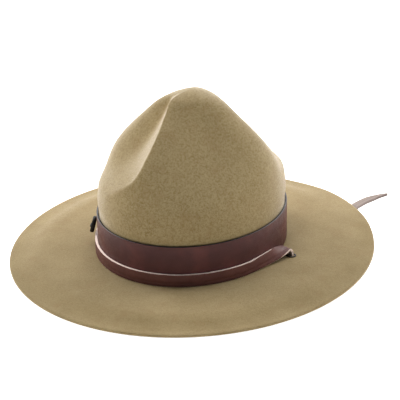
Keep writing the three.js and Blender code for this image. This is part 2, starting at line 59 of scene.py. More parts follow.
# Points on a square metre for each one on a square centimetre
PER_SQUARE_METRE = 1e4
# The photograph's width in pixels, and the camera's sensor in millimetres
PHOTO_WIDTH = 400.0
SENSOR_WIDTH = 36.0


class StrapSide(Enum):
    """The four sides of the chin strap's leather, in the order of its material slots."""

    GRAIN = 0
    UPPER_EDGE = 1
    FLESH = 2
    LOWER_EDGE = 3


class Eye(Enum):
    """Which of the two eyelets: the value is the sign of its X side."""

    RIGHT = 1
    LEFT = -1


# Colour and node helpers


def colour(code: str) -> tuple[float, float, float, float]:
    """Turns an sRGB hex colour into the linear values that shaders take.

    Args:
        code: Six hex digits, such as "a8946e".

    Returns:
        Linear red, green and blue, and an alpha of 1.
    """
    parts = [int(code[i : i + 2], 16) / 255 for i in (0, 2, 4)]
    linear = [c / 12.92 if c <= 0.04045 else ((c + 0.055) / 1.055) ** 2.4 for c in parts]
    return (linear[0], linear[1], linear[2], 1.0)


def add_node(
    tree: bpy.types.NodeTree, kind: str, inputs: dict[Any, Any] | None = None, **settings: Any
) -> Any:
    """Adds a node, sets it up and links what its inputs name.

    Args:
        tree: The shader or geometry node tree.
        kind: The node's type name.
        inputs: For each input, by name or number, a value or the output socket that feeds it.
        settings: The node's own properties.

    Returns:
        The new node.
    """
    node = tree.nodes.new(kind)
    for name, value in settings.items():
        setattr(node, name, value)
    for key, value in (inputs or {}).items():
        if isinstance(value, bpy.types.NodeSocket):
            tree.links.new(value, node.inputs[key])
        else:
            node.inputs[key].default_value = value
    return node


def ramp(tree: bpy.types.NodeTree, factor: Any, stops: Sequence[tuple[float, tuple]]) -> Any:
    """Adds a colour ramp.

    Args:
        tree: The shader node tree.
        factor: The socket that drives it.
        stops: Places along the ramp and their colours.

    Returns:
        The ramp's colour output.
    """
    node = add_node(tree, "ShaderNodeValToRGB", {"Fac": factor})
    elements = node.color_ramp.elements
    while len(elements) < len(stops):
        elements.new(0.5)
    for element, (place, value) in zip(elements, stops):
        element.position = place
        element.color = value
    return node.outputs["Color"]


def three_tones(tree: bpy.types.NodeTree, factor: Any, dark: str, middle: str, light: str) -> Any:
    """Adds the ramp of a dyed face, which is mostly its middle tone.

    Args:
        tree: The shader node tree.
        factor: The socket that drives it.
        dark: The tone at its low end.
        middle: The tone half way.
        light: The tone at its high end.

    Returns:
        The ramp's colour output.
    """
    return ramp(tree, factor, [(0.1, colour(dark)), (0.5, colour(middle)), (0.95, colour(light))])


def drawn_out(tree: bpy.types.NodeTree, place: Any, scale: tuple[float, float, float]) -> Any:
    """Scales coordinates, so that a pattern on them is drawn out where the scale is small.

    Args:
        tree: The shader node tree.
        place: The coordinates.
        scale: Along each axis.

    Returns:
        The scaled coordinates.
    """
    return add_node(tree, "ShaderNodeMapping", {"Vector": place, "Scale": scale}).outputs["Vector"]


def noise(tree: bpy.types.NodeTree, vector: Any, size: float, detail: float = 3.0, rough: float = 0.5) -> Any:
    """Adds a noise whose patches are about as wide as the size given.

    Args:
        tree: The shader node tree.
        vector: The coordinates that it reads, in metres.
        size: Width of a patch, in millimetres.
        detail: Octaves.
        rough: How strong the finer octaves are.

    Returns:
        The noise's value output.
    """
    inputs = {"Vector": vector, "Scale": 1 / (size * MM), "Detail": detail, "Roughness": rough}
    return add_node(tree, "ShaderNodeTexNoise", inputs).outputs["Fac"]


def mix_colour(tree: bpy.types.NodeTree, factor: Any, first: Any, second: Any) -> Any:
    """Mixes two colours.

    Args:
        tree: The shader node tree.
        factor: Socket or number, the second colour's share.
        first: Socket or colour.
        second: Socket or colour.

    Returns:
        The mixed colour's output.
    """
    inputs = {0: factor, 6: first, 7: second}
    return add_node(tree, "ShaderNodeMix", inputs, data_type="RGBA").outputs[2]


def spread(tree: bpy.types.NodeTree, value: Any, low: float, high: float, to: tuple[float, float]) -> Any:
    """Maps a value's range to another one, smoothly.

    Args:
        tree: The shader node tree.
        value: The socket to map.
        low: The value that gives the first target.
        high: The value that gives the second target.
        to: The two targets.

    Returns:
        The mapped value's output.
    """
    inputs = {"Value": value, "From Min": low, "From Max": high, "To Min": to[0], "To Max": to[1]}
    return add_node(tree, "ShaderNodeMapRange", inputs, interpolation_type="SMOOTHSTEP").outputs["Result"]


def bump(tree: bpy.types.NodeTree, height: Any, depth: float, strength: float, under: Any = None) -> Any:
    """Adds relief from a height.

    Args:
        tree: The shader node tree.
        height: The socket with the height, from 0 to 1.
        depth: Height of the relief, in millimetres.
        strength: Share of it that shows.
        under: The normal of a coarser relief that this one lies on.

    Returns:
        The normal output.
    """
    inputs = {"Height": height, "Distance": depth * MM, "Strength": strength}
    if under is not None:
        inputs["Normal"] = under
    return add_node(tree, "ShaderNodeBump", inputs).outputs["Normal"]


# Finishes


class Finish:
    """What every finish shares: a finish says what feeds the shader of its material.

    Attributes:
        name: The material's name.
    """

    name: str

    def shade(self, tree: bpy.types.NodeTree, place: Any) -> dict[str, Any]:
        """Builds the finish's own nodes.

        Args:
            tree: The material's node tree.
            place: The coordinates on the piece, in metres.

        Returns:
            A value or a socket for each input of the principled shader.
        """
        raise NotImplementedError

    def material(self) -> bpy.types.Material:
        """Builds the node material.

        Returns:
            The material.
        """
        material = bpy.data.materials.new(self.name)
        material.use_nodes = True
        tree = material.node_tree
        tree.nodes.clear()
        place = add_node(tree, "ShaderNodeTexCoord").outputs["Object"]
        shader = add_node(tree, "ShaderNodeBsdfPrincipled", self.shade(tree, place))
        add_node(tree, "ShaderNodeOutputMaterial", {"Surface": shader.outputs["BSDF"]})
        return material


@dataclass(frozen=True)
class FurFelt(Finish):
    """Fur felt, blocked over steam, shellac-stiffened and brushed with a soft nap.

    Attributes:
        name: The material's name.
        light: Tone where the nap is brushed towards the light.
        middle: Tone of most of the felt.
        dark: Tone where the nap lies away, and painted shade in the pits between the fibres.
        soiled: The faint warmer tone that handling gives it.
        glow: Tint of the nap's sheen.
        nap: Width of the fibre clumps, in millimetres.
        brim_reach: Height that the brim keeps below, in millimetres.
        brim_fade: Over how much more height the crown's grain comes in.
        brim_grain: Share of the crown's grain that the brim shows.
    """

    name: str = "fur_felt"
    light: str = "b2a078"
    middle: str = "a28f67"
    dark: str = "8c794f"
    soiled: str = "9b835b"
    glow: str = "f6eee2"
    nap: float = 0.9
    brim_reach: float = 42.0
    brim_fade: float = 6.0
    brim_grain: float = 0.4

    def shade(self, tree: bpy.types.NodeTree, place: Any) -> dict[str, Any]:
        """Builds the finish's own nodes: see `Finish.shade`."""
        # Brushing leaves broad drifts of tone some centimetres wide
        drift = noise(tree, place, 34.0, 3.0, 0.5)
        # Clumped fibres mottle it at about a millimetre, which reads as the felt's grain
        clumps = noise(tree, place, self.nap, 4.0, 0.62)
        # Tufts of them, two millimetres wide, lie their own way
        tufts = noise(tree, place, self.nap * 2.4, 2.0, 0.5)
        # Single fibres lie in all directions, drawn out along the surface
        fibres = noise(tree, drawn_out(tree, place, (1.0, 1.0, 0.45)), self.nap * 0.42, 3.0, 0.7)
        # Handling and dust leave faint warm clouds
        clouds = noise(tree, place, 15.0, 3.0, 0.6)
        base = three_tones(tree, drift, self.dark, self.middle, self.light)
        # The brim is pounced and ironed flatter than the crown
        height = add_node(tree, "ShaderNodeSeparateXYZ", {0: place}).outputs["Z"]
        low_end, high_end = self.brim_reach * MM, (self.brim_reach + self.brim_fade) * MM
        rough = spread(tree, height, low_end, high_end, (self.brim_grain, 1.0))

        def shown(pattern: Any, low: float, high: float, most: float) -> Any:
            """How far a pattern shows, less on the brim.

            Args:
                pattern: The pattern's value.
                low: The value that doesn't show.
                high: The value that shows most.
                most: How far that one shows on the crown.

            Returns:
                The share's output.
            """
            share = spread(tree, pattern, low, high, (0.0, most))
            return add_node(tree, "ShaderNodeMath", {0: share, 1: rough}, operation="MULTIPLY").outputs[0]

        mottled = mix_colour(tree, shown(clumps, 0.4, 0.62, 0.75), base, colour(self.light))
        # Where the clumps sink, as the relief does, the dark tone is painted shade in the pits between the
        # fibres
        pit_shaded = mix_colour(tree, shown(clumps, 0.5, 0.34, 1.0), mottled, colour(self.dark))
        tufted = mix_colour(tree, shown(tufts, 0.5, 0.3, 0.6), pit_shaded, colour(self.dark))
        tufted = mix_colour(tree, shown(tufts, 0.5, 0.7, 0.6), tufted, colour(self.light))
        fibred = mix_colour(tree, spread(tree, fibres, 0.45, 0.72, (0.0, 0.3)), tufted, colour(self.light))
        handled = mix_colour(tree, spread(tree, clouds, 0.5, 0.72, (0.0, 0.4)), fibred, colour(self.soiled))
        relief = bump(tree, clumps, 0.35, 0.5)
        return {
            "Base Color": handled,
            "Roughness": 0.95,
            "IOR": 1.46,
            "Specular IOR Level": 0.12,
            "Diffuse Roughness": 0.8,
            "Sheen Weight": 1.0,
            "Sheen Roughness": 0.32,
            "Sheen Tint": colour(self.glow),
            "Normal": bump(tree, fibres, 0.14, 0.6, relief),
        }


@dataclass(frozen=True)
class NapFibre(Finish):
    """Single fur fibres that stand out of the felt.

    Attributes:
        name: The material's name.
        tone: The fibres' colour, lighter than the felt because light passes through them.
        darker: The darkest that a fibre is.
    """

    name: str = "nap_fibre"
    tone: str = "c3b189"
    darker: str = "9f8c62"

    def shade(self, tree: bpy.types.NodeTree, place: Any) -> dict[str, Any]:
        """Builds the finish's own nodes: see `Finish.shade`."""
        # Each fibre has its own tone, as the fur of one hat is a blend
        tone = noise(tree, place, 1.6, 1.0, 0.5)
        blend = ramp(tree, tone, [(0.3, colour(self.darker)), (0.7, colour(self.tone))])
        return {"Base Color": blend, "Roughness": 0.7, "IOR": 1.54, "Sheen Weight": 0.3}


@dataclass(frozen=True)
class GrainLeather(Finish):
    """Vegetable-tanned cowhide, drum-dyed oxblood brown, waxed and plated smooth.

    Attributes:
        name: The material's name.
        light: Tone where the dye has rubbed thin.
        middle: Tone of most of the leather.
        dark: Tone in the pores and where the wax is thick.
        scuffed: Tone where fingers and the brim have scuffed it.
        roughness: Roughness of the waxed face.
        pore: Distance between the pores, in millimetres.
        polished: How much smoother the best kept places are.
        dulled: How much rougher the scuffed places are.
    """

    name: str
    light: str = "6d3b36"
    middle: str = "4e2b2a"
    dark: str = "40211f"
    scuffed: str = "6a413b"
    roughness: float = 0.46
    pore: float = 0.75
    polished: float = 0.06
    dulled: float = 0.12

    def shade(self, tree: bpy.types.NodeTree, place: Any) -> dict[str, Any]:
        """Builds the finish's own nodes: see `Finish.shade`."""
        # The dye takes unevenly over a hide: soft clouds of two to three centimetres
        clouds = noise(tree, place, 24.0, 3.0, 0.5)
        # Plating leaves flat islands between fine pores
        inputs = {"Vector": place, "Scale": 1 / (self.pore * MM)}
        pores = add_node(tree, "ShaderNodeTexVoronoi", inputs, feature="DISTANCE_TO_EDGE").outputs["Distance"]
        # Fine creases run where the strap has been bent, longer than they are wide
        creases = noise(tree, drawn_out(tree, place, (0.5, 0.5, 1.0)), 2.4, 5.0, 0.65)
        # Fingers and the brim scuff it in places
        scuffs = noise(tree, place, 5.5, 6.0, 0.7)
        dyed = three_tones(tree, clouds, self.dark, self.middle, self.light)
        pored = mix_colour(tree, spread(tree, pores, 0.09, 0.0, (0.0, 0.4)), dyed, colour(self.dark))
        worn = mix_colour(tree, spread(tree, scuffs, 0.58, 0.8, (0.0, 0.35)), pored, colour(self.scuffed))
        gloss = (self.roughness - self.polished, self.roughness + self.dulled)
        relief = bump(tree, creases, 0.12, 0.35)
        return {
            "Base Color": worn,
            "Roughness": spread(tree, scuffs, 0.35, 0.7, gloss),
            "IOR": 1.5,
            "Specular IOR Level": 0.2,
            "Coat Weight": 0.03,
            "Coat Roughness": 0.3,
            "Coat IOR": 1.45,
            "Normal": bump(tree, spread(tree, pores, 0.0, 0.12, (0.0, 1.0)), 0.05, 0.45, relief),
        }


@dataclass(frozen=True)
class CutLeather(Finish):
    """Leather's cut or inner faces: the raw edge, whose pale colour also carries a painted highlight, the flesh
    side, or an edge that is inked and burnished.

    Attributes:
        name: The material's name.
        light: Tone of the raised fibres.
        dark: Tone between them.
        roughness: Roughness of the face.
        fibre: Width of the fibre bundles, in millimetres.
        relief: Height of the fibres, in millimetres.
        sheen: Weight of the fuzz on it.
    """

    name: str
    light: str
    dark: str
    roughness: float
    fibre: float = 0.5
    relief: float = 0.12
    sheen: float = 0.0

    def shade(self, tree: bpy.types.NodeTree, place: Any) -> dict[str, Any]:
        """Builds the finish's own nodes: see `Finish.shade`."""
        # Fibre bundles show as fine streaks and knots
        bundles = noise(tree, place, self.fibre, 5.0, 0.7)
        # Dye and hand grease darken stretches of it
        stains = noise(tree, place, 8.0, 3.0, 0.6)
        base = ramp(tree, bundles, [(0.35, colour(self.dark)), (0.62, colour(self.light))])
        stained = mix_colour(tree, spread(tree, stains, 0.5, 0.75, (0.0, 0.45)), base, colour(self.dark))
        return {
            "Base Color": stained,
            "Roughness": self.roughness,
            "IOR": 1.5,
            "Specular IOR Level": 0.35,
            "Sheen Weight": self.sheen,
            "Normal": bump(tree, bundles, self.relief, 0.6),
        }


@dataclass(frozen=True)
class JapannedBrass(Finish):
    """Stamped brass under baked black lacquer, rubbed through in places.

    Attributes:
        name: The material's name.
        lacquer: The lacquer's colour.
        bare: The metal's colour where it is rubbed through.
    """

    name: str = "japanned_brass"
    lacquer: str = "17120f"
    bare: str = "7a6a4c"

    def shade(self, tree: bpy.types.NodeTree, place: Any) -> dict[str, Any]:
        """Builds the finish's own nodes: see `Finish.shade`."""
        # Lacquer rubs off in small patches
        rubbed = noise(tree, place, 1.8, 6.0, 0.68)
        # Baked lacquer has a faint orange peel
        peel = noise(tree, place, 0.7, 2.0, 0.5)
        wear = spread(tree, rubbed, 0.62, 0.72, (0.0, 0.8))
        return {
            "Base Color": mix_colour(tree, wear, colour(self.lacquer), colour(self.bare)),
            "Metallic": spread(tree, rubbed, 0.62, 0.72, (0.0, 1.0)),
            "Roughness": spread(tree, rubbed, 0.4, 0.72, (0.46, 0.6)),
            "IOR": 1.5,
            "Specular IOR Level": 0.22,
            "Normal": bump(tree, peel, 0.03, 0.4),
        }


@dataclass(frozen=True)
class BackgroundPaper(Finish):
    """White background paper, which glows a little so that it stays near white.

    Attributes:
        name: The material's name.
        tone: The paper's colour.
        glow: Strength of its own light, which keeps it near white.
    """

    name: str = "paper_sweep"
    tone: str = "fbfbfb"
    glow: float = 0.6

    def shade(self, tree: bpy.types.NodeTree, place: Any) -> dict[str, Any]:
        """Builds the finish's own nodes: see `Finish.shade`."""
        # Background paper has the faintest tooth
        tooth = noise(tree, place, 1.2, 2.0, 0.5)
        return {
            "Base Color": colour(self.tone),
            "Roughness": 0.95,
            "Emission Color": (1.0, 1.0, 1.0, 1.0),
            "Emission Strength": self.glow,
            "Normal": bump(tree, tooth, 0.02, 0.2),
        }


# Meshes


def new_piece(name: str, points: np.ndarray, faces: list[tuple[int, ...]]) -> bpy.types.Object:
    """Makes a smooth-shaded mesh object at the origin.

    Args:
        name: The piece's name.
        points: Its points in millimetres, one row each.
        faces: Indices of each face's corners, in order.

    Returns:
        The object, linked to the scene.
    """
    mesh = bpy.data.meshes.new(name)
    mesh.from_pydata((points * MM).tolist(), [], faces)
    mesh.validate()
    mesh.shade_smooth()
    piece = bpy.data.objects.new(name, mesh)
    bpy.context.scene.collection.objects.link(piece)
    return piece


def face_outwards(piece: bpy.types.Object) -> None:
    """Turns a closed mesh's faces so that they point out of it.

    Args:
        piece: The piece with that mesh.
    """
    mesh = piece.data
    count = len(mesh.vertices)
    points = np.empty(count * 3)
    mesh.vertices.foreach_get("co", points)
    points = points.reshape(-1, 3)
    volume = 0.0
    for polygon in mesh.polygons:
        corners = [points[i] for i in polygon.vertices]
        for b, c in zip(corners[1:], corners[2:]):
            volume += float(np.dot(corners[0], np.cross(b, c)))
    if volume < 0:
        mesh.flip_normals()


def closed_piece(
    name: str, points: np.ndarray, faces: list[tuple[int, ...]], *finishes: Finish
) -> bpy.types.Object:
    """Makes a closed piece, dressed and with its faces pointing out of it.

    Args:
        name: The piece's name.
        points: Its points in millimetres, one row each.
        faces: Indices of each face's corners, in order.
        finishes: Its finishes, in the order of its material slots.

    Returns:
        The piece.
    """
    piece = new_piece(name, points, faces)
    for finish in finishes:
        piece.data.materials.append(finish.material())
    face_outwards(piece)
    return piece


def skin_faces(
    rings: int, count: int, first: int = 0, joined: bool = False, capped: bool = False
) -> list[tuple[int, ...]]:
    """Faces over a row of rings, each of which is a closed loop of points.

    Args:
        rings: How many rings there are.
        count: Points in each.
        first: Index of the first ring's first point.
        joined: Whether the last ring meets the first one.
        capped: Whether a face closes each end of the row.

    Returns:
        The faces between the rings, then the caps.
    """
    faces: list[tuple[int, ...]] = []
    for k in range(rings if joined else rings - 1):
        a, b = first + k * count, first + (k + 1) % rings * count
        faces += [(a + i, a + (i + 1) % count, b + (i + 1) % count, b + i) for i in range(count)]
    if capped:
        last = first + (rings - 1) * count
        faces += [tuple(first + i for i in reversed(range(count))), tuple(last + i for i in range(count))]
    return faces


def column(
    rows: Sequence[Sequence[float]], index: int, place: np.ndarray | float, level_end: bool = False
) -> np.ndarray:
    """Monotone cubic through a table's column, with the row number as its variable.

    Args:
        rows: The table.
        index: The column.
        place: Row numbers, whole or between rows.
        level_end: No slope at the last row.

    Returns:
        The column's value at each place.
    """
    values = np.array([row[index] for row in rows], float)
    steps = np.diff(values)
    before, after = steps[:-1], steps[1:]
    total = np.where(np.abs(before + after) < 1e-12, 1.0, before + after)
    middle = np.where(before * after > 0, 2 * before * after / total, 0.0)
    slopes = np.concatenate([[steps[0]], middle, [0.0 if level_end else steps[-1]]])
    at = np.atleast_1d(np.asarray(place, float))
    i = np.clip(np.floor(at).astype(int), 0, len(values) - 2)
    t = at - i
    return (
        (2 * t**3 - 3 * t**2 + 1) * values[i]
        + (t**3 - 2 * t**2 + t) * slopes[i]
        + (3 * t**2 - 2 * t**3) * values[i + 1]
        + (t**3 - t**2) * slopes[i + 1]
    )


def smooth(share: np.ndarray | float) -> np.ndarray | float:
    """Eases a share from 0 to 1.

    Args:
        share: The share, of any size.

    Returns:
        The eased share, which stays between 0 and 1.
    """
    t = np.clip(share, 0.0, 1.0)
    return t * t * (3 - 2 * t)


def curve_point(points: Sequence[Vector], share: float) -> Vector:
    """Point on the centripetal curve through a few points.

    Args:
        points: The points that it passes, in order.
        share: 0 at the first point, 1 at the last, even steps between points.

    Returns:
        The point.
    """
    last = len(points) - 1
    place = share * last
    i = min(int(place), last - 1)
    t = place - i
    p1, p2 = points[i], points[i + 1]
    p0 = points[i - 1] if i > 0 else p1 * 2 - p2
    p3 = points[i + 2] if i + 2 <= last else p2 * 2 - p1
    d0, d1, d2 = (math.sqrt((b - a).length) for a, b in ((p0, p1), (p1, p2), (p2, p3)))
    d1 = d1 if d1 > 1e-4 else 1.0
    d0 = d0 if d0 > 1e-4 else d1
    d2 = d2 if d2 > 1e-4 else d1
    t1 = ((p1 - p0) / d0 - (p2 - p0) / (d0 + d1) + (p2 - p1) / d1) * d1
    t2 = ((p2 - p1) / d1 - (p3 - p1) / (d1 + d2) + (p3 - p2) / d2) * d1
    c2 = p2 * 3 - p1 * 3 - t1 * 2 - t2
    c3 = p1 * 2 - p2 * 2 + t1 + t2
    return p1 + t1 * t + c2 * (t * t) + c3 * (t * t * t)


@dataclass(frozen=True)
class HeadOval:
    """The oval of the crown's foot, which everything is set round.

    Attributes:
        half_width: Side to side, outside of the felt.
        half_length: Front to back, outside of the felt.
    """

    half_width: float = 86.0
    half_length: float = 102.5

    def points(self, turns: np.ndarray, out: np.ndarray | float, z: np.ndarray | float) -> np.ndarray:
        """Points on the oval, pushed out along its normal.

        Args:
            turns: Degrees round from the front by the +X side.
            out: How far out.
            z: Their height.

        Returns:
            One row for each turn.
        """
        angle = np.radians(turns)
        s, c = np.sin(angle), np.cos(angle)
        nx, ny = s * self.half_length, -c * self.half_width
        size = np.hypot(nx, ny)
        x = self.half_width * s + out * nx / size
        y = -self.half_length * c + out * ny / size
        return np.stack([x, y, np.broadcast_to(z, x.shape)], -1)

    def point(self, turn: float, out: float, z: float = 0.0) -> Vector:
        """One such point.

        Args:
            turn: Degrees round from the front by the +X side.
            out: How far out.
            z: Its height.

        Returns:
            The point.
        """
        return Vector(self.points(np.array([float(turn)]), out, z)[0].tolist())


# Sub-assemblies


@dataclass
class FeltBody:
    """Crown and brim, one blocked felt.

    Attributes:
        oval: The crown's foot.
        finish: The felt.
        wall: Thickness of the felt.
        crown_height: From the brim's top to the peak.
        foot_round: Inside radius between crown and brim.
        brim_width: From the crown's foot to the cut edge.
        rest_width: Flat ring under the rim.
        brim_rise: Room under the brim at the crown's foot.
        exit_rise: Room under the rim where the strap's free end passes.
        exit_turn: Where that is, in degrees round from the front.
        exit_reach: Degrees to either side of it over which that room ends.
        exit_fade: Over how many of them it comes and goes.
        rim_round: Radius of the cut edge.
        side_ridge: Degrees from the front.
        turns: Stations round the hat.
        crown_rings: Rings up the crown.
        peak_rings: How far short of the last row two more rings lie.
        brim_rings: Rings across the brim.
        crown_rows: Height, then the reach at the front, the left dent, the right dent, the side, the back
            dents and the back, and the turn of the front crest.
        dent_rows: For each quarter, the columns of its dent and of the ridges before and after it, the share
            of the way where it is deepest, and how its two ends start.
        brim_rows: Share out, share of the room left under the brim.
    """

    oval: HeadOval
    finish: FurFelt
    wall: float = 2.2
    crown_height: float = 149.5
    foot_round: float = 2.0
    brim_width: float = 86.0
    rest_width: float = 7.0
    brim_rise: float = 3.7
    exit_rise: float = 2.7
    exit_turn: float = 135.0
    exit_reach: float = 34.0
    exit_fade: float = 24.0
    rim_round: float = 0.9
    side_ridge: float = 92.0
    turns: int = 256
    crown_rings: int = 84
    peak_rings: tuple[float, float] = (0.06, 0.02)
    brim_rings: int = 30
    crown_rows: list[tuple[float, ...]] = field(
        default_factory=lambda: [
            (0.0, 1.0, 1.0, 1.0, 1.0, 1.0, 1.0, -42),
            (0.26, 1.0, 1.0, 1.0, 1.0, 1.0, 1.0, -42),
            (0.33, 1.008, 1.008, 1.008, 0.998, 1.03, 1.01, -42),
            (0.43, 1.005, 0.99, 1.0, 0.98, 1.015, 1.005, -40),
            (0.52, 0.975, 0.87, 0.94, 0.952, 0.86, 0.975, -28),
            (0.6, 0.935, 0.7, 0.82, 0.899, 0.69, 0.925, -16),
            (0.68, 0.86, 0.565, 0.67, 0.804, 0.525, 0.84, -12),
            (0.76, 0.725, 0.44, 0.53, 0.675, 0.415, 0.7, -11),
            (0.84, 0.53, 0.33, 0.405, 0.526, 0.363, 0.515, -14),
            (0.915, 0.35, 0.24, 0.295, 0.377, 0.32, 0.34, -22),
            (0.97, 0.235, 0.175, 0.2, 0.195, 0.195, 0.22, -32),
            (1.0, 0.0, 0.0, 0.0, 0.0, 0.0, 0.0, -36),
        ]
    )
    dent_rows: tuple[tuple[int, int, int, float, float, float], ...] = (
        (5, 6, 4, 0.5, 1.5, 2.0),
        (2, 4, 1, 0.55, 2.0, 0.75),
        (3, 1, 4, 0.48, 1.5, 2.0),
        (5, 4, 6, 0.5, 2.0, 1.5),
    )
    brim_rows: list[tuple[float, float]] = field(
        default_factory=lambda: [(0.0, 1.0), (0.35, 1.0), (0.68, 1.0), (0.8, 0.72), (0.9, 0.26), (1.0, 0.0)]
    )

    @property
    def brim_top(self) -> float:
        """Height of the brim's upper face at the crown's foot."""
        return self.brim_rise + self.wall

    def stations(self) -> np.ndarray:
        """Degrees round the hat.

        Returns:
            One for each station.
        """
        return -180 + 360 * np.arange(self.turns) / self.turns

    def reach(self, place: float, turn: np.ndarray) -> np.ndarray:
        """The crown's reach as a share of the foot's.

        Args:
            place: Row number in the crown's table.
            turn: Degrees from the front.

        Returns:
            The share at each turn.
        """
        at = [float(column(self.crown_rows, i, place)[0]) for i in range(8)]
        ridges = [-180.0, -self.side_ridge, at[7], self.side_ridge, 180.0]
        made = np.zeros_like(turn)
        for i, (dent, first, second, middle, first_end, second_end) in enumerate(self.dent_rows):
            share = (turn - ridges[i]) / (ridges[i + 1] - ridges[i])
            before = np.sin(np.pi / 2 * np.clip(share / middle, 0, 1)) ** first_end
            after = np.sin(np.pi / 2 * np.clip((1 - share) / (1 - middle), 0, 1)) ** second_end
            reach = np.where(
                share <= middle,
                at[first] + (at[dent] - at[first]) * before,
                at[second] + (at[dent] - at[second]) * after,
            )
            made = np.where((share >= 0) & (share <= 1), reach, made)
        return made

    def crown_ring(self, place: float, inset: float) -> np.ndarray:
        """One ring of the crown's outer skin, or of its inner skin.

        Args:
            place: Row number in the crown's table.
            inset: 0 outside, the wall's thickness inside.

        Returns:
            The ring's points.
        """
        turn = self.stations()
        reach = self.reach(place, turn)
        angle = np.radians(turn)
        height = float(column(self.crown_rows, 0, place, level_end=True)[0])
        z = self.brim_top + (self.crown_height - inset) * height
        x = (self.oval.half_width - inset) * np.sin(angle) * reach
        y = -(self.oval.half_length - inset) * np.cos(angle) * reach
        return np.stack([x, y, np.full_like(x, z)], -1)

    def underside(self, out: float) -> np.ndarray:
        """Height of the brim's underside.

        Args:
            out: How far out from the crown's foot.

        Returns:
            The height at each station.
        """
        share = min(out / (self.brim_width - self.rest_width), 1.0)
        shares = [row[0] for row in self.brim_rows]
        i = min(int(np.searchsorted(shares, share, side="right")) - 1, len(shares) - 2)
        place = i + min((share - shares[i]) / (shares[i + 1] - shares[i]), 1.0)
        rise = float(column(self.brim_rows, 1, place)[0])
        away = np.abs((self.stations() - self.exit_turn + 540) % 360 - 180)
        lift = smooth((self.exit_reach - away) / self.exit_fade)
        return self.brim_rise * rise + self.exit_rise * lift * (1 - rise)

    def brim_ring(self, out: float, above: float) -> np.ndarray:
        """One ring of the brim.

        Args:
            out: How far out from the crown's foot.
            above: Height over the underside there.

        Returns:
            The ring's points.
        """
        return self.oval.points(self.stations(), out, self.underside(out) + above)

    def foot_ring(self, angle: float, wall: float) -> np.ndarray:
        """One ring of the rounded turn between crown and brim.

        Args:
            angle: 0 at the crown's wall, 90 at the brim.
            wall: 0 outside, the wall's thickness inside.

        Returns:
            The ring's points.
        """
        radius = self.foot_round + wall
        out = self.foot_round - radius * math.cos(math.radians(angle))
        z = self.brim_top + self.foot_round - radius * math.sin(math.radians(angle))
        return self.oval.points(self.stations(), out, z)

    def build(self) -> bpy.types.Object:
        """Builds the felt and dresses it.

        Returns:
            The felt piece.
        """
        last = len(self.crown_rows) - 1
        places = np.linspace(1, last, self.crown_rings)[:-1].tolist()
        places += [last - short for short in self.peak_rings]
        outs = np.linspace(self.foot_round + 1, self.brim_width - self.rim_round, self.brim_rings).tolist()
        turn_angles = [0, 18, 36, 54, 72, 90]
        half = self.wall / 2
        rim_angles = [math.radians(angle) for angle in (30, 60, 90)]
        # Over the cut edge from the brim's upper face, then under it again
        edge = [
            self.brim_ring(
                self.brim_width - self.rim_round * (1 - math.sin(a)),
                half + (half - self.rim_round) * sign + self.rim_round * math.cos(a) * sign,
            )
            for sign, angles in ((1, rim_angles), (-1, rim_angles[::-1]))
            for a in angles
        ]
        rings = [self.crown_ring(p, 0) for p in reversed(places)]
        rings += [self.foot_ring(a, 0) for a in turn_angles]
        rings += [self.brim_ring(out, self.wall) for out in outs]
        rings += edge
        rings += [self.brim_ring(out, 0) for out in reversed(outs)]
        rings += [self.foot_ring(a, self.wall) for a in reversed(turn_angles)]
        rings += [self.crown_ring(p, self.wall) for p in places[::2]]
        peak = np.array([[0, 0, self.brim_top + self.crown_height]])
        under = peak - np.array([[0, 0, self.wall]])
        points = np.concatenate([peak, *rings, under])
        count = self.turns
        faces = [(0, 1 + (i + 1) % count, 1 + i) for i in range(count)]
        faces += skin_faces(len(rings), count, first=1)
        tail = 1 + (len(rings) - 1) * count
        faces += [(len(points) - 1, tail + i, tail + (i + 1) % count) for i in range(count)]
        return closed_piece("felt_hat", points, faces, self.finish)


def new_growth(name: str, start: str, numbers: Sequence[str], end: str) -> tuple[bpy.types.NodeTree, Any]:
    """Makes a geometry node tree that has only its sockets.

    Args:
        name: The tree's name.
        start: Name of the geometry that it starts from.
        numbers: Names of the numbers that it takes.
        end: Name of the geometry that it makes.

    Returns:
        The tree, and the sockets that it takes its inputs from.
    """
    tree = bpy.data.node_groups.new(name, "GeometryNodeTree")
    face = tree.interface
    face.new_socket(start, in_out="INPUT", socket_type="NodeSocketGeometry")
    for number in numbers:
        kind = "NodeSocketInt" if number == "Seed" else "NodeSocketFloat"
        face.new_socket(number, in_out="INPUT", socket_type=kind)
    face.new_socket(end, in_out="OUTPUT", socket_type="NodeSocketGeometry")
    return tree, add_node(tree, "NodeGroupInput").outputs


def end_growth(tree: bpy.types.NodeTree, shape: Any, finish: Finish) -> None:
    """Makes a tree's shape real, dresses it and gives it out.

    Args:
        tree: The geometry node tree.
        shape: The socket with the shape.
        finish: The shape's finish.
    """
    real = add_node(tree, "GeometryNodeRealizeInstances", {0: shape})
    inputs = {"Geometry": real.outputs[0], "Material": finish.material()}
    dressed = add_node(tree, "GeometryNodeSetMaterial", inputs)
    add_node(tree, "NodeGroupOutput", {0: dressed.outputs[0]})


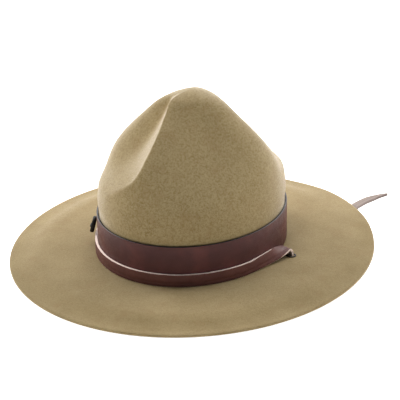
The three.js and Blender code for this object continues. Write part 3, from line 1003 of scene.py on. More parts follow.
@dataclass
class FeltNap:
    """Loose fur fibres over the felt's outer face.

    Attributes:
        finish: The fibres.
        length: Mean length of what stands out.
        width: Thickness of a fibre at its root.
        density: Fibres on each square centimetre.
        lean: How far brushing tips them over at most, in radians.
        spin: How far they turn about themselves at most, in radians.
        sizes: Least and most, as shares of the mean length.
        seed: Fixes where they stand.
    """

    finish: NapFibre
    length: float = 0.9
    width: float = 0.07
    density: float = 18.0
    lean: float = 0.9
    spin: float = 6.28
    sizes: tuple[float, float] = (0.5, 1.3)
    seed: int = 11

    def tree(self) -> bpy.types.NodeTree:
        """Builds the node tree that plants the fibres.

        Returns:
            The geometry node tree.
        """
        tree, given = new_growth("felt_nap", "Felt", ("Length", "Width", "Density", "Seed"), "Nap")

        def above(value: Any, least: float) -> Any:
            """Whether a value is more than the least one given.

            Args:
                value: The socket to compare.
                least: The number.

            Returns:
                The answer's output.
            """
            inputs = {0: value, 1: least}
            return add_node(tree, "FunctionNodeCompare", inputs, operation="GREATER_THAN").outputs[0]

        # Only faces that look away from the hat's middle carry a nap, and none that look at the floor
        place = add_node(tree, "GeometryNodeInputPosition").outputs[0]
        normal = add_node(tree, "GeometryNodeInputNormal").outputs[0]
        outward = add_node(tree, "ShaderNodeVectorMath", {0: place, 1: normal}, operation="DOT_PRODUCT")
        upward = add_node(tree, "ShaderNodeSeparateXYZ", {0: normal}).outputs["Z"]
        tests = {0: above(outward.outputs["Value"], 0.001), 1: above(upward, -0.2)}
        chosen = add_node(tree, "FunctionNodeBooleanMath", tests)
        spots = add_node(
            tree,
            "GeometryNodeDistributePointsOnFaces",
            {
                "Mesh": given["Felt"],
                "Selection": chosen.outputs[0],
                "Density": given["Density"],
                "Seed": given["Seed"],
            },
        )
        fibre = add_node(
            tree,
            "GeometryNodeMeshCone",
            {"Vertices": 3, "Radius Top": 0.0, "Radius Bottom": given["Width"], "Depth": given["Length"]},
            fill_type="NGON",
        )
        # Brushing lays the fibres over, each a little differently
        lay = add_node(
            tree,
            "FunctionNodeRandomValue",
            {
                0: (-self.lean, -self.lean, 0.0),
                1: (self.lean, self.lean, self.spin),
                "Seed": given["Seed"],
            },
            data_type="FLOAT_VECTOR",
        )
        span = {2: self.sizes[0], 3: self.sizes[1], "Seed": given["Seed"]}
        size = add_node(tree, "FunctionNodeRandomValue", span, data_type="FLOAT")
        planted = add_node(
            tree,
            "GeometryNodeInstanceOnPoints",
            {
                "Points": spots.outputs["Points"],
                "Instance": fibre.outputs["Mesh"],
                "Rotation": spots.outputs["Rotation"],
                "Scale": size.outputs[1],
            },
        )
        brushed = add_node(
            tree, "GeometryNodeRotateInstances", {"Instances": planted.outputs[0], "Rotation": lay.outputs[0]}
        )
        end_growth(tree, brushed.outputs[0], self.finish)
        return tree

    def build(self, felt: bpy.types.Object) -> bpy.types.Object:
        """Plants the fibres on a felt.

        Args:
            felt: The felt piece.

        Returns:
            The fibres as one mesh piece.
        """
        values = {
            "Length": self.length * MM,
            "Width": self.width * MM,
            "Density": self.density * PER_SQUARE_METRE,
            "Seed": self.seed,
        }
        return grown(felt.data.copy(), "felt_nap", self.tree(), values)


def grown(
    mesh: bpy.types.Mesh, name: str, tree: bpy.types.NodeTree, values: dict[str, float | int]
) -> bpy.types.Object:
    """Runs a node tree on a mesh and keeps the result as a plain mesh.

    Args:
        mesh: The mesh that the tree starts from.
        name: The piece's name.
        tree: The geometry node tree.
        values: Its inputs, by name.

    Returns:
        The new piece, at the origin and without modifiers.
    """
    start = bpy.data.objects.new(name + "_start", mesh)
    bpy.context.scene.collection.objects.link(start)
    modifier = start.modifiers.new(name, "NODES")
    modifier.node_group = tree
    sockets = {item.name: item.identifier for item in tree.interface.items_tree if item.in_out == "INPUT"}
    for key, value in values.items():
        modifier[sockets[key]] = value
    bpy.context.view_layer.update()
    graph = bpy.context.evaluated_depsgraph_get()
    shaped = start.evaluated_get(graph)
    result = bpy.data.meshes.new_from_object(shaped, preserve_all_data_layers=True, depsgraph=graph)
    start.modifiers.clear()
    bpy.data.objects.remove(start)
    piece = bpy.data.objects.new(name, result)
    bpy.context.scene.collection.objects.link(piece)
    return piece


@dataclass
class HatBand:
    """Leather band round the crown's foot.

    Attributes:
        oval: The crown's foot.
        leather: Its grain face.
        edge: Its inked edges.
        height: From edge to edge.
        thickness: Of the leather.
        low: Height of its lower edge above the floor.
        out: Of its inner face from the felt.
        edge_radius: Rounding of its edges.
        inked: Share of that rounding that the ink covers.
        stations: Points round the path.
    """

    oval: HeadOval
    leather: GrainLeather
    edge: CutLeather
    height: float = 36.2
    thickness: float = 2.0
    low: float = 7.5
    out: float = 0.3
    edge_radius: float = 0.6
    inked: float = 0.8
    stations: int = 240

    def tree(self) -> bpy.types.NodeTree:
        """Builds the node tree that sweeps the band's section round its path.

        Returns:
            The geometry node tree.
        """
        tree, given = new_growth("band_sweep", "Path", ("Height", "Thickness", "Edge Radius"), "Band")
        path = add_node(tree, "GeometryNodeMeshToCurve", {"Mesh": given["Path"]})
        upright = add_node(tree, "GeometryNodeSetCurveNormal", {"Curve": path.outputs[0]}, mode="Z_UP")
        section = add_node(
            tree,
            "GeometryNodeCurvePrimitiveQuadrilateral",
            {"Width": given["Thickness"], "Height": given["Height"]},
        )
        rounded = add_node(
            tree,
            "GeometryNodeFilletCurve",
            {"Curve": section.outputs[0], "Radius": given["Edge Radius"], "Count": 4},
            mode="POLY",
        )
        swept = add_node(
            tree,
            "GeometryNodeCurveToMesh",
            {"Curve": upright.outputs[0], "Profile Curve": rounded.outputs[0]},
        )
        end_growth(tree, swept.outputs[0], self.leather)
        return tree

    def build(self) -> bpy.types.Object:
        """Builds the band and inks its edges.

        Returns:
            The band piece.
        """
        turns = 360 * np.arange(self.stations) / self.stations
        middle = self.oval.points(turns, self.out + self.thickness / 2, self.low + self.height / 2) * MM
        path = bpy.data.meshes.new("band_path")
        edges = [(i, (i + 1) % self.stations) for i in range(self.stations)]
        path.from_pydata(middle.tolist(), edges, [])
        values = {
            "Height": self.height * MM,
            "Thickness": self.thickness * MM,
            "Edge Radius": self.edge_radius * MM,
        }
        piece = grown(path, "leather_band", self.tree(), values)
        piece.data.shade_smooth()
        face_outwards(piece)
        piece.data.materials.append(self.edge.material())
        ink = self.edge_radius * self.inked
        for polygon in piece.data.polygons:
            z = polygon.center.z / MM
            if z > self.low + self.height - ink or z < self.low + ink:
                polygon.material_index = 1
        return piece


@dataclass(frozen=True)
class StrapPlace:
    """A place on the strap.

    Attributes:
        centre: Middle of the leather's section.
        across: The way across the strap.
        width: Its width there.
    """

    centre: Vector
    across: Vector
    width: float


@dataclass
class EyeletPlace:
    """Where an eyelet sits in the brim.

    Attributes:
        oval: The crown's foot.
        side: Which of the two.
        turn: Degrees from the front, of the right one.
        left_back: Degrees that the left one lies further back.
        out: Its centre, out from the crown's foot.
        splay: Degrees that the strap points outwards of the foot's oval there.
    """

    oval: HeadOval
    side: Eye
    turn: float = 86.0
    left_back: float = 22.0
    out: float = 11.0
    splay: float = 28.6

    def turn_at(self, turn: float) -> float:
        """Degrees round from the front by the +X side, of a place that the two sides share.

        Args:
            turn: The same, of the right one.

        Returns:
            The degrees.
        """
        return turn if self.side is Eye.RIGHT else -turn - self.left_back

    @property
    def centre(self) -> Vector:
        """The eyelet's centre, at the height of the floor."""
        return self.oval.point(self.turn_at(self.turn), self.out)

    @property
    def heading(self) -> Vector:
        """The way that the strap points through it."""
        turn = math.radians(abs(self.turn_at(self.turn)))
        along = math.atan2(self.oval.half_length * math.sin(turn), self.oval.half_width * math.cos(turn))
        angle = along - math.radians(self.splay)
        return Vector((math.cos(angle) * self.side.value, math.sin(angle), 0.0))

    @property
    def across(self) -> Vector:
        """Across the strap, towards the crown."""
        heading = self.heading
        return Vector((-heading.y * self.side.value, heading.x * self.side.value, 0.0))


@dataclass
class ChinStrap:
    """Narrow strap: against the band round the front, down through both eyelets, and on under the brim.

    Attributes:
        oval: The crown's foot.
        finishes: The leather's four sides, in the order of `StrapSide`.
        width: Of the strap.
        thickness: Of its leather.
        edge_radius: Rounding of the cut edges.
        crease: Depth of the line tooled along the grain side.
        brim_rise: Room under the brim.
        brim_top: Height of the brim's upper face.
        brim_width: From the crown's foot to the cut edge.
        offset: Inner face, out from the crown's foot.
        gap: To what it lies on.
        leaves: Where it leaves the band, in degrees either side of the front.
        through: How far off the eyelet's middle it passes.
        arch: Of the turn over an eyelet: share along, share of the rise, share of the bulge, and lean.
        arch_size: Run, rise and bulge of that turn.
        peel: Degrees, out, rise and lean of the first place off the band.
        tail: Length, point length, point width and bend of the free end, and where it passes the rim.
        end_width: Of the free end, before its point.
        point_curve: Power of the point's taper: the lower, the fuller the point.
        rear: Turn, and share of the brim's width, of the run round the back.
        keeper_along: Share of the straight run where the keeper lies.
        keeper_length: Of the keeper.
        turned_places: Places from the free end to the keeper, where the flesh side lies upwards.
        face_rows: Shares across the grain and flesh sides, and share of the crease's depth there.
        corner_steps: Steps round each corner of the section.
        turn_steps: Steps from one place of an eyelet's turn to the next.
        front_steps: Steps round the front.
        run_steps: Steps of the straight run.
        end_steps: Steps of the free end.
        rear_steps: Steps from one place of the rear run to the next.
    """

    oval: HeadOval
    finishes: dict[StrapSide, Finish]
    width: float = 11.6
    thickness: float = 2.4
    edge_radius: float = 0.18
    crease: float = 0.3
    brim_rise: float = 3.7
    brim_top: float = 5.9
    brim_width: float = 86.0
    offset: float = 2.6
    gap: float = 0.3
    leaves: float = 58.0
    through: float = 0.5
    arch: list[tuple[float, float, float, float]] = field(
        default_factory=lambda: [
            (0.0, 0.23, 0.0, 0),
            (0.1, 0.74, 0.0, 0),
            (0.44, 1.0, 0.0, 0),
            (1.0, 1.05, 0.6, 14),
        ]
    )
    arch_size: tuple[float, float, float] = (9.5, 7.0, 2.2)
    peel: tuple[float, float, float, float] = (15.0, 1.8, 1.2, 70.0)
    tail: tuple[float, float, float, float, float] = (55.0, 24.0, 1.2, 34.0, 135.0)
    end_width: float = 9.0
    point_curve: float = 0.8
    rear: list[tuple[float, float]] = field(
        default_factory=lambda: [
            (-122, 0.31),
            (-135, 0.33),
            (-157, 0.35),
            (-180, 0.37),
            (-202, 0.41),
            (-222, 0.46),
        ]
    )
    keeper_along: float = 0.42
    keeper_length: float = 16.0
    turned_places: int = 28
    face_rows: tuple[tuple[float, float], ...] = (
        (0.16, 0.0),
        (0.33, 0.0),
        (0.5, 0.0),
        (0.66, 0.0),
        (0.71, 1.0),
        (0.76, 0.0),
        (0.88, 0.0),
    )
    corner_steps: int = 3
    turn_steps: int = 7
    front_steps: int = 90
    run_steps: int = 7
    end_steps: int = 24
    rear_steps: int = 8

    def stretch(self, places: Sequence[tuple[Vector, Vector]], steps: int) -> list[StrapPlace]:
        """Smooth stretch through a few places.

        Args:
            places: Centre and way across of each.
            steps: Places to make between two.

        Returns:
            The stretch.
        """
        centres = [p[0] for p in places]
        acrosses = [p[1] for p in places]
        count = (len(places) - 1) * steps
        return [
            StrapPlace(
                curve_point(centres, i / count), curve_point(acrosses, i / count).normalized(), self.width
            )
            for i in range(count + 1)
        ]

    def turn_over(self, side: Eye) -> list[StrapPlace]:
        """From under the brim up through an eyelet, over, and on edge against the band.

        Args:
            side: Which eyelet.

        Returns:
            The turn's places.
        """
        eye = EyeletPlace(self.oval, side)
        centre, heading, across = eye.centre, eye.heading, eye.across
        floor = self.thickness / 2
        bend = self.brim_rise + self.gap - floor
        mid = bend * (1 - math.sqrt(0.5))
        run, rise, bulge = self.arch_size
        peel_turn, peel_out, peel_rise, peel_lean = self.peel

        def over(along: float, z: float, out: float = 0.0) -> Vector:
            """A point over the line through the eyelet.

            Args:
                along: How far along that line from the eyelet's centre.
                z: Its height.
                out: How far off the line, away from the crown.

            Returns:
                The point.
            """
            point = centre + heading * along - across * out
            return Vector((point.x, point.y, z))

        def leaning(angle: float) -> Vector:
            """Across the strap, tipped up.

            Args:
                angle: By how many degrees.

            Returns:
                The way across.
            """
            a = math.radians(angle)
            return Vector((across.x * math.cos(a), across.y * math.cos(a), math.sin(a)))

        on_edge = self.brim_top + self.gap + self.width / 2
        against = self.offset + self.thickness / 2
        leaves = eye.turn_at(self.leaves)
        places = [
            (over(self.through + 3 * bend, floor), leaning(0)),
            (over(self.through + bend, floor), leaning(0)),
            (over(self.through + mid, floor + mid), leaning(0)),
            (over(self.through, floor + bend), leaning(0)),
        ]
        places += [
            (over(self.through - along * run, self.brim_top + up * rise, out * bulge), leaning(lean))
            for along, up, out, lean in self.arch
        ]
        peeled = leaves + peel_turn * side.value
        places += [
            (self.oval.point(peeled, against + peel_out, on_edge + peel_rise), leaning(peel_lean)),
            (self.oval.point(leaves, against, on_edge), Vector((0, 0, 1))),
        ]
        return self.stretch(places, self.turn_steps)

    def straight_run(self, start: Vector) -> tuple[Vector, Vector, Vector]:
        """The straight run under the brim, from the right eyelet to the rim.

        Args:
            start: Where it starts.

        Returns:
            Where it passes the rim, the way along it, and the way across it, inwards.
        """
        leave = self.oval.point(self.tail[4], self.brim_width, start.z)
        way = (leave - start).normalized()
        return leave, way, Vector((-way.y, way.x, 0))

    def free_end(self, start: StrapPlace) -> list[StrapPlace]:
        """Straight under the brim to the rim, then the free end, bending outwards to its point.

        Args:
            start: Where it comes out of the right eyelet.

        Returns:
            The places from there to the point.
        """
        length, point_length, point_width, bend, _ = self.tail
        leave, way, inward = self.straight_run(start.centre)
        steps = self.end_steps
        made = []
        for i in range(1, self.run_steps + 1):
            share = i / self.run_steps
            width = self.width + (self.end_width - self.width) * smooth(share)
            made.append(StrapPlace(start.centre.lerp(leave, share), inward, width))
        heading = math.atan2(way.y, way.x)
        centre = leave.copy()
        for i in range(1, steps + 1):
            heading -= math.radians(bend) / steps
            centre = centre + Vector((math.cos(heading), math.sin(heading), 0)) * (length / steps)
            share = min((length - i * length / steps) / point_length, 1.0)
            width = point_width + (self.end_width - point_width) * share**self.point_curve
            across = Vector((-math.sin(heading), math.cos(heading), 0))
            made.append(StrapPlace(centre.copy(), across, width))
        return made

    def rear_run(self, start: StrapPlace, right: StrapPlace) -> list[StrapPlace]:
        """Round the back of the head opening under the brim, to lie beside the straight run.

        Args:
            start: Where it comes out of the left eyelet.
            right: Where the straight run starts.

        Returns:
            The run's places.
        """
        z = start.centre.z
        leave, way, inward = self.straight_run(right.centre)
        on_run = right.centre + way * (self.keeper_along * (leave - right.centre).length)
        beside = on_run + inward * (self.width + self.gap)
        centres = [start.centre.copy()]
        centres += [self.oval.point(turn, out * self.brim_width, z) for turn, out in self.rear]
        centres += [beside + way * self.keeper_length, beside - way * (self.keeper_length / 2)]
        steps = (len(centres) - 1) * self.rear_steps
        near = 1e-4
        run = []
        for i in range(1, steps + 1):
            share = i / steps
            before, after = max(share - near, 0.0), min(share + near, 1.0)
            ahead = curve_point(centres, after) - curve_point(centres, before)
            across = Vector((ahead.y, -ahead.x, 0)).normalized()
            run.append(StrapPlace(curve_point(centres, share), across, self.width))
        return run

    def places(self) -> list[StrapPlace]:
        """All the strap's places, from its free end to the keeper.

        Returns:
            The places.
        """
        right = self.turn_over(Eye.RIGHT)
        left = self.turn_over(Eye.LEFT)
        against = self.offset + self.thickness / 2
        z = self.brim_top + self.gap + self.width / 2
        ends = [EyeletPlace(self.oval, side).turn_at(self.leaves) for side in (Eye.RIGHT, Eye.LEFT)]
        turns = np.linspace(*ends, self.front_steps + 1)[1:-1]
        upright = Vector((0, 0, 1))
        front = [StrapPlace(self.oval.point(turn, against, z), upright, self.width) for turn in turns]
        tail = self.free_end(right[0])
        rear = self.rear_run(left[0], right[0])
        return [*reversed(tail), *right, *front, *reversed(left), *rear]

    def section(self) -> list[tuple[float, float, StrapSide]]:
        """The leather's section.

        Returns:
            For each point its place across the strap, its place through the leather, and the side that
            starts there.
        """
        r_face = self.edge_radius
        half_w, half_t = self.width / 2, self.thickness / 2
        corners = [
            (1, 1, StrapSide.UPPER_EDGE),
            (1, -1, StrapSide.GRAIN),
            (-1, -1, StrapSide.LOWER_EDGE),
            (-1, 1, StrapSide.FLESH),
        ]
        made = []
        for index, (a, b, after) in enumerate(corners):
            for step in range(self.corner_steps + 1):
                angle = math.radians(90 - 90 * index - 90 // self.corner_steps * step)
                x = a * (half_w - r_face) + r_face * math.cos(angle)
                y = b * (half_t - r_face) + r_face * math.sin(angle)
                made.append((x, y, after))
            if after in (StrapSide.FLESH, StrapSide.GRAIN):
                for share, cut in self.face_rows:
                    sunk = cut * self.crease if after is StrapSide.GRAIN else 0
                    made.append((a * (1 - 2 * share) * (half_w - r_face), b * (half_t - sunk), after))
        return made

    def build(self) -> bpy.types.Object:
        """Sweeps the section along the strap and dresses its four sides.

        Returns:
            The strap piece.
        """
        places = self.places()
        section = self.section()
        points = []
        for i, place in enumerate(places):
            before = places[max(i - 1, 0)].centre
            after = places[min(i + 1, len(places) - 1)].centre
            way = (after - before).normalized()
            face = way.cross(place.across).normalized()
            across = face.cross(way).normalized()
            for x, y, _ in section:
                edge = math.copysign(max(0.0, abs(x) - (self.width - place.width) / 2), x)
                points.append(tuple(place.centre + across * edge + face * y))
        # The turned stretch shows flesh for grain, and its cut edges are as dull as its flesh side
        sides = []
        other = {StrapSide.GRAIN: StrapSide.FLESH, StrapSide.FLESH: StrapSide.GRAIN}
        for k in range(len(places) - 1):
            turned = k < self.turned_places
            sides += [(other.get(side, StrapSide.FLESH) if turned else side).value for _, _, side in section]
        sides += [StrapSide.UPPER_EDGE.value] * 2
        faces = skin_faces(len(places), len(section), capped=True)
        finishes = [self.finishes[side] for side in StrapSide]
        piece = closed_piece("leather_chin_strap", np.array(points), faces, *finishes)
        piece.data.polygons.foreach_set("material_index", sides)
        return piece


@dataclass
class BrimEyelet:
    """Rolled metal eyelet in the brim.

    Attributes:
        place: Where it sits.
        metal: Its finish.
        length: Of its opening.
        width: Of its opening.
        wall: Of its barrel.
        flange: Width of its rolled lip.
        roll: Thickness of that lip.
        low: Height of the barrel's lower end.
        high: Height of the lip's top.
    """

    place: EyeletPlace
    metal: JapannedBrass
    length: float = 14.9
    width: float = 5.4
    wall: float = 0.6
    flange: float = 1.2
    roll: float = 0.58
    low: float = 4.0
    high: float = 6.8

    def slot_ring(self, grow: float, z: float, corner_steps: int = 12) -> np.ndarray:
        """Outline of the slot, at a height.

        Args:
            grow: How much larger than the opening it is all round.
            z: The height.
            corner_steps: Steps round each of its ends.

        Returns:
            The outline's points.
        """
        radius = self.width / 2 + grow
        half = self.length / 2 - self.width / 2
        along, heading = self.place.across, self.place.heading
        ring = []
        for end in (1, -1):
            for k in range(corner_steps + 1):
                angle = math.pi * (k / corner_steps - 0.5) + (0 if end == 1 else math.pi)
                x = end * half + radius * math.cos(angle)
                y = radius * math.sin(angle)
                point = self.place.centre + along * x + heading * y
                ring.append((point.x, point.y, z))
        return np.array(ring)

    def build(self) -> bpy.types.Object:
        """Turns the rolled section round the slot.

        Returns:
            The eyelet piece.
        """
        outer = self.wall + self.flange
        # Over the lip from the opening outwards: how far out, and how far below the lip's top
        over_lip = [
            (0.0, 0.35),
            (0.12, 0.12),
            (0.4, 0.0),
            (outer - 0.75, 0.0),
            (outer - 0.25, 0.144),
            (outer, 0.32),
            (outer - 0.06, 0.5),
            (outer - 0.3, self.roll),
            (self.wall, self.roll),
        ]
        section = [(0.0, self.low)]
        section += [(grow, self.high - drop) for grow, drop in over_lip]
        section += [(self.wall, self.low)]
        rings = [self.slot_ring(grow, z) for grow, z in section]
        faces = skin_faces(len(rings), len(rings[0]), joined=True)
        name = f"metal_eyelet_{self.place.side.name.lower()}"
        return closed_piece(name, np.concatenate(rings), faces, self.metal)


@dataclass
class BandBuckle:
    """Wire frame buckle with a bar and a prong, on the band's left side.

    Attributes:
        oval: The crown's foot.
        metal: Its finish.
        turn: Degrees round from the front.
        height: Of the frame.
        length: Of the frame, along the band.
        wire: Width of the frame's wire.
        depth: Of the frame, out from the band.
        bar: Thickness of the bar.
        prong: Thickness of the prong.
        low_edge: Height of the frame's lower edge.
        top_out: Frame's middle at its top, out from the crown's foot.
        low_out: The same at its lower edge, over the strap.
        gap: To what it lies on.
        sag: How far the prong dips from its free end to the bar.
        taper: Share of its thickness that it loses on the way.
        prong_ends: Radius of the prong's blunt ends, at the bar and at the tip.
        wire_sides: Sides of a wire's section.
        frame_steps: Steps round the frame.
        bar_steps: Steps along the bar.
        prong_steps: Steps along the prong.
    """

    oval: HeadOval
    metal: JapannedBrass
    turn: float = -69.0
    height: float = 16.5
    length: float = 14.0
    wire: float = 2.6
    depth: float = 4.0
    bar: float = 1.6
    prong: float = 1.4
    low_edge: float = 17.7
    top_out: float = 4.6
    low_out: float = 8.4
    gap: float = 0.3
    sag: float = 0.5
    taper: float = 0.35
    prong_ends: tuple[float, float] = (0.35, 0.22)
    wire_sides: int = 20
    frame_steps: int = 72
    bar_steps: int = 8
    prong_steps: int = 20

    def frame_matrix(self) -> Matrix:
        """The buckle's own frame: x along the band, y up the buckle, z out from the band.

        Returns:
            The matrix that takes points from it to the hat's frame, in millimetres.
        """
        outward = (self.oval.point(self.turn, 1) - self.oval.point(self.turn, 0)).normalized()
        low = self.oval.point(self.turn, self.low_out, self.low_edge + self.wire / 2)
        rise = self.height - self.wire
        up = outward * (self.top_out - self.low_out)
        up.z = rise
        up.normalize()
        along = up.cross(outward).normalized()
        out = along.cross(up)
        centre = low + up * (rise / 2)
        rows = Matrix((along, up, out)).transposed().to_4x4()
        rows.translation = centre
        return rows

    def placed(self, name: str, points: list[Vector], faces: list[tuple[int, ...]]) -> bpy.types.Object:
        """Makes a piece from points in the buckle's own frame.

        Args:
            name: The piece's name.
            points: Its points, in millimetres.
            faces: Its faces.

        Returns:
            The piece, dressed.
        """
        matrix = self.frame_matrix()
        return closed_piece(name, np.array([tuple(matrix @ p) for p in points]), faces, self.metal)

    def tube(self, path: list[Vector], radii: list[tuple[float, float]], closed: bool) -> tuple[list, list]:
        """Points and faces of a wire.

        Args:
            path: Its centreline.
            radii: At each point, half its width and half its depth.
            closed: Whether it is a loop.

        Returns:
            Points and faces.
        """
        out = Vector((0, 0, 1))
        points: list[Vector] = []
        last = len(path) - 1
        for i, centre in enumerate(path):
            ahead = path[(i + 1) % len(path)] if closed else path[min(i + 1, last)]
            behind = path[i - 1] if closed else path[max(i - 1, 0)]
            sideways = out.cross((ahead - behind).normalized()).normalized()
            half_width, half_depth = radii[i]
            for k in range(self.wire_sides):
                angle = 2 * math.pi * k / self.wire_sides
                over = sideways * (half_width * math.cos(angle))
                points.append(centre + over + out * (half_depth * math.sin(angle)))
        return points, skin_faces(len(path), self.wire_sides, joined=closed, capped=not closed)

    def build_frame(self) -> bpy.types.Object:
        """Builds the oval frame with its bar.

        Returns:
            The frame piece.
        """
        half_l, half_h = (self.length - self.wire) / 2, (self.height - self.wire) / 2
        angles = [2 * math.pi * i / self.frame_steps for i in range(self.frame_steps)]
        loop = [Vector((half_l * math.cos(a), half_h * math.sin(a), 0)) for a in angles]
        points, faces = self.tube(loop, [(self.wire / 2, self.depth / 2)] * len(loop), True)
        steps = range(self.bar_steps + 1)
        bar_path = [Vector((0, half_h * (2 * i / self.bar_steps - 1), 0)) for i in steps]
        bar_points, bar_faces = self.tube(bar_path, [(self.bar / 2, self.bar / 2)] * len(bar_path), False)
        start = len(points)
        faces += [tuple(start + i for i in f) for f in bar_faces]
        return self.placed("buckle_frame", points + bar_points, faces)

    def build_prong(self) -> bpy.types.Object:
        """Builds the prong, tapered and bent over the frame.

        Returns:
            The prong piece.
        """
        half_l = (self.length - self.wire) / 2
        over = self.depth / 2 + self.prong / 2 - self.gap
        path, radii = [], []
        for i in range(self.prong_steps + 1):
            share = i / self.prong_steps
            x = -self.bar / 2 + share * (half_l + self.wire / 2 + self.bar / 2)
            path.append(Vector((x, 0, over - self.sag * (1 - share) ** 2)))
            radii.append((self.prong / 2 * (1 - self.taper * share),) * 2)
        radii[0], radii[-1] = ((end, end) for end in self.prong_ends)
        points, faces = self.tube(path, radii, False)
        return self.placed("buckle_tongue", points, faces)


@dataclass
class StrapKeeper:
    """Plain plate over the two lengths of strap, under the brim.

    Attributes:
        metal: Its finish.
        strap: The strap that it holds.
        thickness: Of the plate.
        corner: Radius of its corners.
        ease: Bevel of its edges.
    """

    metal: JapannedBrass
    strap: ChinStrap
    thickness: float = 0.7
    corner: float = 1.2
    ease: float = 0.12

    def build(self) -> bpy.types.Object:
        """Builds the plate with rounded corners and eased edges.

        Returns:
            The keeper piece.
        """
        strap = self.strap
        start = strap.turn_over(Eye.RIGHT)[0].centre
        leave, way, inward = strap.straight_run(start)
        middle = start + way * (strap.keeper_along * (leave - start).length)
        middle += inward * ((strap.width + strap.gap) / 2)
        half_a, half_b = strap.width + strap.gap / 2, strap.keeper_length / 2
        corner, low = self.corner, strap.thickness + strap.gap
        high = low + self.thickness
        rings = []
        for z, inset in ((low, self.ease), (low + self.ease, 0), (high - self.ease, 0), (high, self.ease)):
            ring = []
            for a, b, first in ((1, 1, 0), (-1, 1, 90), (-1, -1, 180), (1, -1, 270)):
                for k in range(6):
                    angle = math.radians(first + 18 * k)
                    u = a * (half_a - corner) + (corner - inset) * math.cos(angle)
                    v = b * (half_b - corner) + (corner - inset) * math.sin(angle)
                    point = middle + inward * u + way * v
                    ring.append((point.x, point.y, z))
            rings.append(np.array(ring))
        faces = skin_faces(len(rings), len(rings[0]), capped=True)
        piece = closed_piece("strap_keeper_plate", np.concatenate(rings), faces, self.metal)
        piece.data.shade_flat()
        return piece


# Camera, light and floor


@dataclass(frozen=True)
class Softbox:
    """Rectangular soft light that faces the hat.

    Attributes:
        name: The light's name.
        place: Where it stands, in metres.
        size: Its width and height, in metres.
        power: In watts.
        tint: Its colour.
        aim_height: Height of what it faces over the origin, in metres.
    """

    name: str
    place: tuple[float, float, float]
    size: tuple[float, float]
    power: float
    tint: str = "ffffff"
    aim_height: float = 0.06

    def build(self) -> None:
        """Adds the light to the scene."""
        data = bpy.data.lights.new(self.name, "AREA")
        data.shape = "RECTANGLE"
        data.size, data.size_y = self.size
        data.energy = self.power
        data.color = colour(self.tint)[:3]
        light = bpy.data.objects.new(self.name, data)
        light.location = self.place
        aim = Vector((0, 0, self.aim_height)) - Vector(self.place)
        light.rotation_mode = "QUATERNION"
        light.rotation_quaternion = aim.to_track_quat("-Z", "Y")
        bpy.context.scene.collection.objects.link(light)


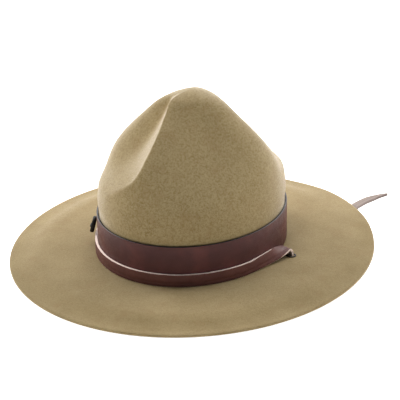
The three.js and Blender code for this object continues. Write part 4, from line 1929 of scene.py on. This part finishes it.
@dataclass
class Studio:
    """Pale floor, soft light and the camera at the photograph's angle.

    Attributes:
        distance: From the camera to the origin's plane, in millimetres.
        azimuth: Round from the hat's front, in degrees.
        elevation: Above the horizon, in degrees.
        roll: Of the picture, in degrees.
        focal: Focal length in pixels of the photograph.
        centre: Where the origin falls in the photograph, in pixels.
        clip: Nearest and furthest that the camera sees, in metres.
        softboxes: The lights.
        ambient: Strength of the white surroundings as a light. The camera sees them at full strength.
        floor_reach: From the origin to the floor's sides.
        floor_drop: How far the floor lies under the hat.
    """

    distance: float = 1200.0
    azimuth: float = 20.0
    elevation: float = 22.56
    roll: float = -1.15
    focal: float = 1244.4
    centre: tuple[float, float] = (193.5, 243.7)
    clip: tuple[float, float] = (0.05, 50.0)
    softboxes: tuple[Softbox, ...] = (
        Softbox("softbox_left", (-1.5, 0.35, 0.95), (1.3, 1.1), 35.0, "fffaf4"),
        Softbox("softbox_right", (1.2, 1.25, 1.15), (1.3, 1.1), 29.0, "fffaf4"),
        Softbox("softbox_back", (-0.2, 1.7, 1.2), (1.8, 1.0), 32.0),
        Softbox("softbox_top", (-0.3, 0.5, 2.05), (1.6, 1.6), 34.0),
    )
    ambient: float = 0.16
    floor_reach: float = 6000.0
    floor_drop: float = 0.1

    def build_camera(self) -> None:
        """Sets up the camera."""
        a, e, r = (math.radians(x) for x in (self.azimuth, self.elevation, self.roll))
        right = Vector((math.cos(a), math.sin(a), 0))
        forward = Vector((-math.sin(a) * math.cos(e), math.cos(a) * math.cos(e), -math.sin(e)))
        up = Vector((-math.sin(a) * math.sin(e), math.cos(a) * math.sin(e), math.cos(e)))
        side = right * math.cos(r) + up * math.sin(r)
        top = up * math.cos(r) - right * math.sin(r)
        shift_x = (self.centre[0] - PHOTO_WIDTH / 2) * self.distance / self.focal
        shift_y = -(self.centre[1] - PHOTO_WIDTH / 2) * self.distance / self.focal
        place = -(side * shift_x + top * shift_y + forward * self.distance) * MM
        data = bpy.data.cameras.new("photo_camera")
        data.sensor_width = SENSOR_WIDTH
        data.lens = self.focal * SENSOR_WIDTH / PHOTO_WIDTH
        data.clip_start, data.clip_end = self.clip
        camera = bpy.data.objects.new("photo_camera", data)
        bpy.context.scene.collection.objects.link(camera)
        turn = Matrix((side, top, -forward)).transposed()
        camera.matrix_world = Matrix.Translation(place) @ turn.to_4x4()
        bpy.context.scene.camera = camera

    def build_lights(self) -> None:
        """Sets up the softboxes and the white surroundings."""
        for softbox in self.softboxes:
            softbox.build()
        world = bpy.data.worlds.new("white_room")
        world.use_nodes = True
        tree = world.node_tree
        tree.nodes.clear()
        seen = add_node(tree, "ShaderNodeLightPath").outputs["Is Camera Ray"]
        shown = {"Value": seen, "To Min": self.ambient, "To Max": 1.0}
        strength = add_node(tree, "ShaderNodeMapRange", shown).outputs["Result"]
        white = {"Color": (1.0, 1.0, 1.0, 1.0), "Strength": strength}
        shell = add_node(tree, "ShaderNodeBackground", white)
        add_node(tree, "ShaderNodeOutputWorld", {"Surface": shell.outputs[0]})
        bpy.context.scene.world = world

    def build_floor(self) -> None:
        """Builds the pale floor."""
        size, z = self.floor_reach, -self.floor_drop
        corners = np.array([[-size, -size, z], [size, -size, z], [size, size, z], [-size, size, z]])
        floor = new_piece("studio_floor", corners, [(0, 1, 2, 3)])
        floor.data.materials.append(BackgroundPaper().material())

    def build(self) -> None:
        """Builds the studio and sets how tones are shown."""
        self.build_camera()
        self.build_lights()
        self.build_floor()
        view = bpy.context.scene.view_settings
        view.view_transform = "Standard"
        view.look = "None"
        view.exposure = 0.0
        view.gamma = 1.0


def settle(piece: bpy.types.Object, slot: str, *nodes: str) -> None:
    """Rides a piece on the hat, hides the CAD nodes that it stands for and logs its triangles.

    Args:
        piece: The finished piece.
        slot: A material slot's name; not used.
        nodes: CAD nodes that it replaces.
    """
    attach(piece, "root")
    if nodes:
        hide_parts(*nodes)
    triangles = sum(len(p.vertices) - 2 for p in piece.data.polygons)
    LOG.info("%s: %d triangles", piece.name, triangles)


def main() -> None:
    """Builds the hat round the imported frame, then the studio."""
    logging.basicConfig(level=logging.INFO, format="%(name)s %(message)s")
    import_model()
    oval = HeadOval()
    band_leather = GrainLeather("band_leather")
    strap_leather = GrainLeather(
        "strap_leather", light="7a5048", middle="643f3a", dark="4c2e2c", roughness=0.52, pore=0.6
    )
    inked_edge = CutLeather("inked_edge", "241c20", "120d10", 0.38)
    # Raw cut edges: the leather's pale tan, lifted almost to white as a painted highlight along the strap's
    # edge
    raw_edge_and_highlight = CutLeather("raw_edge_and_highlight", "fdeee6", "ead0c5", 0.75, sheen=0.1)
    flesh_side = CutLeather("flesh_side", "82756f", "6a5b53", 0.85, fibre=0.6, relief=0.15, sheen=0.25)
    metal = JapannedBrass()

    felt = FeltBody(oval, FurFelt()).build()
    settle(felt, "felt", "felt_body")
    settle(FeltNap(NapFibre()).build(felt), "felt")
    settle(HatBand(oval, band_leather, inked_edge).build(), "band_leather", "hat_band")
    strap = ChinStrap(
        oval,
        {
            StrapSide.GRAIN: strap_leather,
            StrapSide.UPPER_EDGE: raw_edge_and_highlight,
            StrapSide.FLESH: flesh_side,
            StrapSide.LOWER_EDGE: raw_edge_and_highlight,
        },
    )
    settle(strap.build(), "strap_leather", "chin_strap")
    for side in Eye:
        eyelet = BrimEyelet(EyeletPlace(oval, side), metal).build()
        settle(eyelet, "dark_metal", f"strap_eyelet_{side.name.lower()}")
    buckle = BandBuckle(oval, metal)
    settle(buckle.build_frame(), "dark_metal", "band_buckle")
    settle(buckle.build_prong(), "dark_metal", "buckle_prong")
    settle(StrapKeeper(metal, strap).build(), "dark_metal", "strap_keeper")

    Studio().build()


if __name__ == "__main__":
    main()
